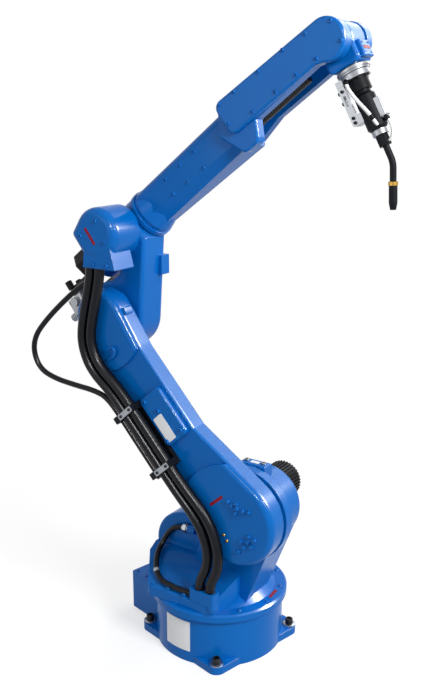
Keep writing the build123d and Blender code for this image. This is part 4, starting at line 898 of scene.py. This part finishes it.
panel_corners = [(PANEL_BACK, y, z) for y in (panel_low.y + PANEL_INSET, panel_high.y - PANEL_INSET)
                 for z in (panel_low.z + PANEL_INSET, panel_high.z - PANEL_INSET)]
screw_group("panel_screws", "base", [on_link(BASE, *corner, TO_REAR) for corner in panel_corners],
            button_head(radius=5, height=3), zinc_plate)
print("sockets:", len(socket_middles), "contacts:", len(contacts))

# %% [markdown]
# ## Feeder and elbow wires
# The feeder pushes the welding wire between rollers. A dark pressure arm with two
# tension knobs lies on it, the wire comes in through a ribbed inlet, and two thin
# wires cross the open gap of the elbow from the motor to the feeder. The arm is a
# thick rounded plate, and the inlet's ribs are turned as the conduit's are.

# %% Feeder and wires
FEEDER_FACE, FEEDER_LID, ARM_WIDTH, ARM_DEPTH, WIRE_RADIUS = 72, -56, 38, 62, 2.5
flat_plate("feeder_pressure_arm", "elbow", on_link(ROLL, -96, FEEDER_LID + ARM_WIDTH / 2, -22), black_oxide,
           width=96, height=ARM_WIDTH, corner=9, thickness=ARM_DEPTH)
tension_knob = ((9, 0, ROUND), (9, 3, ROUND), (7, 4, ROUND), (7, 7, ROUND), (9.5, 8, HEXAGON),
                (9.5, 15, HEXAGON), (7, 16, ROUND))
screw_group("feeder_tension_knobs", "elbow",
            [on_link(ROLL, s, FEEDER_LID + ARM_WIDTH, 10, TO_FRONT) for s in (-124, -74)],
            tension_knob, black_casing)
inlet = ribbed_outline(core=12, crest=14.5, pitch=8, count=7, shape=(1, 3, 6, 8))
screw_group("feeder_wire_inlet", "elbow", [on_link(ROLL, -160, -100, 22, TO_REAR)], inlet, zinc_plate)
feeder_corners = [(s, n) for s in (-146, 78) for n in (-70, -118)]
screw_group("feeder_screws", "elbow", on_face(ROLL, FEEDER_FACE, feeder_corners),
            socket_head(radius=5, height=5), black_oxide)
elbow_wires = {"upper": ((176, -66, 40), (164, -96, 46), (126, -112, 50), (88, -98, 44)),
               "lower": ((172, -70, 12), (172, -112, 22), (134, -128, 36), (86, -116, 30))}
for which, route in elbow_wires.items():
    wire_path = smooth_line(f"elbow_wire_line_{which}", link_points(ROLL, *route))
    tube_piece(f"elbow_wire_{which}", wire_path, WIRE_RADIUS, "elbow", hose_pvc)
print("feeder screws and wires placed")

# %% [markdown]
# ## Stop lug and far-side covers
# A lug on the rim of the lower arm's elbow disc stops the elbow. On the far side,
# which the picture doesn't show, the bearings of the elbow and the wrist are closed
# by shallow turned caps inside a ring of screws, as on most arms of this kind. A cap
# has a dished middle, because a plain disc would not catch the light.

# %% Lug, caps and their screws
ELBOW_REACH, ELBOW_FAR_FACE, FORK_FAR_FACE = 760, -34, -84
LUG_FACE, LUG_TURN, LUG_REACH = 116, 250, 97
lug_place = on_link(LOWER_ARM, ELBOW_REACH, 0, LUG_FACE) @ Matrix.Rotation(radians(LUG_TURN), 4, "Z")
flat_plate("arm_stop_lug", "lower_arm", on_link(lug_place, LUG_REACH, 0, 0), blue_enamel,
           width=26, height=24, corner=4, thickness=34)
SIX_ROUND, EIGHT_ROUND = range(0, 360, 60), range(0, 360, 45)


def turned_cap(radius, rise):
    """A shallow lid's outline: wall, chamfer, flat, and a dished middle."""
    dish = rise - 1.5
    return ((radius, 0, ROUND), (radius, rise - 1, ROUND), (radius - 1.5, rise, ROUND),
            (radius * 0.55, rise, ROUND), (radius * 0.5, dish, ROUND), (0.5, dish, ROUND))


elbow_far, wrist_far = (ELBOW_REACH, 0, ELBOW_FAR_FACE), (0, 0, FORK_FAR_FACE)
screw_group("elbow_far_cap", "elbow", [on_link(LOWER_ARM, *elbow_far, TO_FAR)], turned_cap(radius=60, rise=5),
            blue_enamel)
screw_group("elbow_far_screws", "elbow", on_ring(LOWER_ARM, elbow_far, 76, EIGHT_ROUND, TO_FAR),
            socket_head(radius=6, height=6), blue_enamel)
screw_group("wrist_far_cap", "forearm", [on_link(FOREARM, *wrist_far, TO_FAR)], turned_cap(radius=30, rise=4),
            blue_enamel)
screw_group("wrist_far_screws", "forearm", on_ring(FOREARM, wrist_far, 39, SIX_ROUND, TO_FAR),
            button_head(radius=5, height=3), blue_enamel)
BOX_LID = 147
lid_corners = [(x, y) for x in (-288, -240) for y in (-124, 66)]
screw_group("box_lid_screws", "base", on_face(BASE, BOX_LID, lid_corners),
            button_head(radius=6, height=3), blue_enamel)
print("lug, caps and lid screws placed")

# %% [markdown]
# ## Hook on the lower arm
# A bent rod near the elbow keeps a loose hose from swinging. It is welded on and
# painted with the arm. Bent from straight runs it would look hard at its corners; it
# is a thin tube on a smooth line, made like a hose.

# %% Hook
HOOK_RADIUS = 4
hook_path = smooth_line("arm_hook_line", link_points(
    LOWER_ARM, (640, 48, 160), (640, 48, 172), (634, 26, 174), (640, 4, 174), (662, 2, 174), (664, 26, 174)))
tube_piece("arm_hook", hook_path, HOOK_RADIUS, "lower_arm", blue_enamel)
print("hook", round(path_length(hook_path), 3), "m")


# %% [markdown]
# ## Studio floor
# The floor is painted white. It takes the arm's shadow, and away from the arm it
# fades to plain white for what the camera, a mirror or glass sees directly. Light
# that bounces from it on to the arm comes from the duller paint, so that the
# background can be white without more light on the arm.

# %% Floor
def seen_directly(owner):
    """1 for a ray from the camera, a mirror or glass, 0 for light that bounces about."""
    rays = add_node(owner, "ShaderNodeLightPath").outputs
    mirrored = add_node(owner, "ShaderNodeMath", {0: rays["Is Camera Ray"], 1: rays["Is Glossy Ray"]},
                        operation="MAXIMUM").outputs[0]
    return add_node(owner, "ShaderNodeMath", {0: mirrored, 1: rays["Is Transmission Ray"]},
                    operation="MAXIMUM").outputs[0]


WHITE = linear("#FFFFFF")
FLOOR_LIFT, FADE_FROM, FADE_TO, FLOOR_RADIUS, FLOOR_DROP = 0.62, 0.5, 1.9, 6.0, 0.001
floor_finish, floor_shader, floor_place = new_finish("white_floor_paint", IOR=1.45, Emission_Color=WHITE)
grained(floor_finish, floor_shader, floor_place, colours=("#B0B0B0", "#B8B8B8"), patch_mm=900,
        gloss=(0.8, 0.9), grain_mm=30, rise_mm=0.1)
floor_seen = seen_directly(floor_finish)
lift = add_node(floor_finish, "ShaderNodeMath", {0: floor_seen, 1: FLOOR_LIFT}, operation="MULTIPLY")
reach = add_node(floor_finish, "ShaderNodeVectorMath", {0: floor_place}, operation="LENGTH").outputs["Value"]
fade = add_node(floor_finish, "ShaderNodeMapRange",
                {"Value": reach, "From Min": FADE_FROM, "From Max": FADE_TO},
                interpolation_type="SMOOTHSTEP").outputs["Result"]
fade_seen = add_node(floor_finish, "ShaderNodeMath", {0: fade, 1: floor_seen},
                     operation="MULTIPLY").outputs[0]
paper = add_node(floor_finish, "ShaderNodeEmission", {"Color": WHITE, "Strength": 1.0})
mixed = add_node(floor_finish, "ShaderNodeMixShader",
                 {0: fade_seen, 1: floor_shader.outputs["BSDF"], 2: paper.outputs["Emission"]})
floor_output = floor_finish.node_tree.nodes["Material Output"]
floor_finish.node_tree.links.new(lift.outputs[0], floor_shader.inputs["Emission Strength"])
floor_finish.node_tree.links.new(mixed.outputs["Shader"], floor_output.inputs["Surface"])
floor_mesh = bmesh.new()
bmesh.ops.create_circle(floor_mesh, cap_ends=True, segments=96, radius=FLOOR_RADIUS)
floor = finish_piece("studio_floor", floor_mesh, None, floor_finish)
floor.location.z = -FLOOR_DROP
print("floor fades from", FADE_FROM, "to", FADE_TO, "m")


# %% [markdown]
# ## Surround and lamps
# The surround is white to the eye and dimmer as a source of light. One broad lamp
# stands at the front right, as in the picture, a weaker one at the left, and one
# beyond the arm draws the bright lines along its upper edges. They are set so that
# a colour comes out about as it is written. Two more lamps light nothing: they only
# show as reflections in the paint and the hoses, which gives round edges their
# glints, and light linking keeps them off the rest.

# %% World and lamps
SKY_ON_ARM, SKY_TO_EYE = 0.36, 1.0
LAMP_TARGET = Vector((0.0, 0.0, 1.0))
world = bpy.data.worlds.new("white_studio")
bpy.context.scene.world = world
world.use_nodes = True
sky = world.node_tree.nodes["Background"]
sky.inputs["Color"].default_value = WHITE
sky_seen = seen_directly(world)
strength = add_node(world, "ShaderNodeMapRange",
                    {"Value": sky_seen, "To Min": SKY_ON_ARM, "To Max": SKY_TO_EYE}).outputs["Result"]
world.node_tree.links.new(strength, sky.inputs["Strength"])


def area_lamp(name, place, size, watts, glints_on=None):
    """A square soft lamp that faces the arm's middle; it may only put glints on one collection."""
    light = bpy.data.lights.new(name, "AREA")
    light.size = size
    light.energy = watts
    lamp = bpy.data.objects.new(name, light)
    lamp.location = place
    if glints_on:
        lamp.visible_diffuse = False
        lamp.light_linking.receiver_collection = glints_on
    lamp.rotation_euler = (LAMP_TARGET - Vector(place)).to_track_quat("-Z", "Y").to_euler()
    bpy.context.collection.objects.link(lamp)


glossy = bpy.data.collections.new("glossy_pieces")
for thing in bpy.data.objects:
    if thing.type == "MESH" and thing.data.materials[0] in (blue_enamel, hose_pvc):
        glossy.objects.link(thing)
area_lamp("key_lamp", (3.4, -0.2, 3.0), size=1.2, watts=135)
area_lamp("fill_lamp", (-0.6, -4.0, 2.0), size=2.0, watts=22)
area_lamp("rim_lamp", (-0.4, 3.4, 3.0), size=2.2, watts=60)
area_lamp("spark_lamp", (2.2, -2.4, 2.9), size=0.35, watts=160, glints_on=glossy)
area_lamp("glint_lamp", (2.2, 2.75, 2.95), size=1.1, watts=2600, glints_on=glossy)
bpy.context.scene.view_settings.view_transform = "Standard"
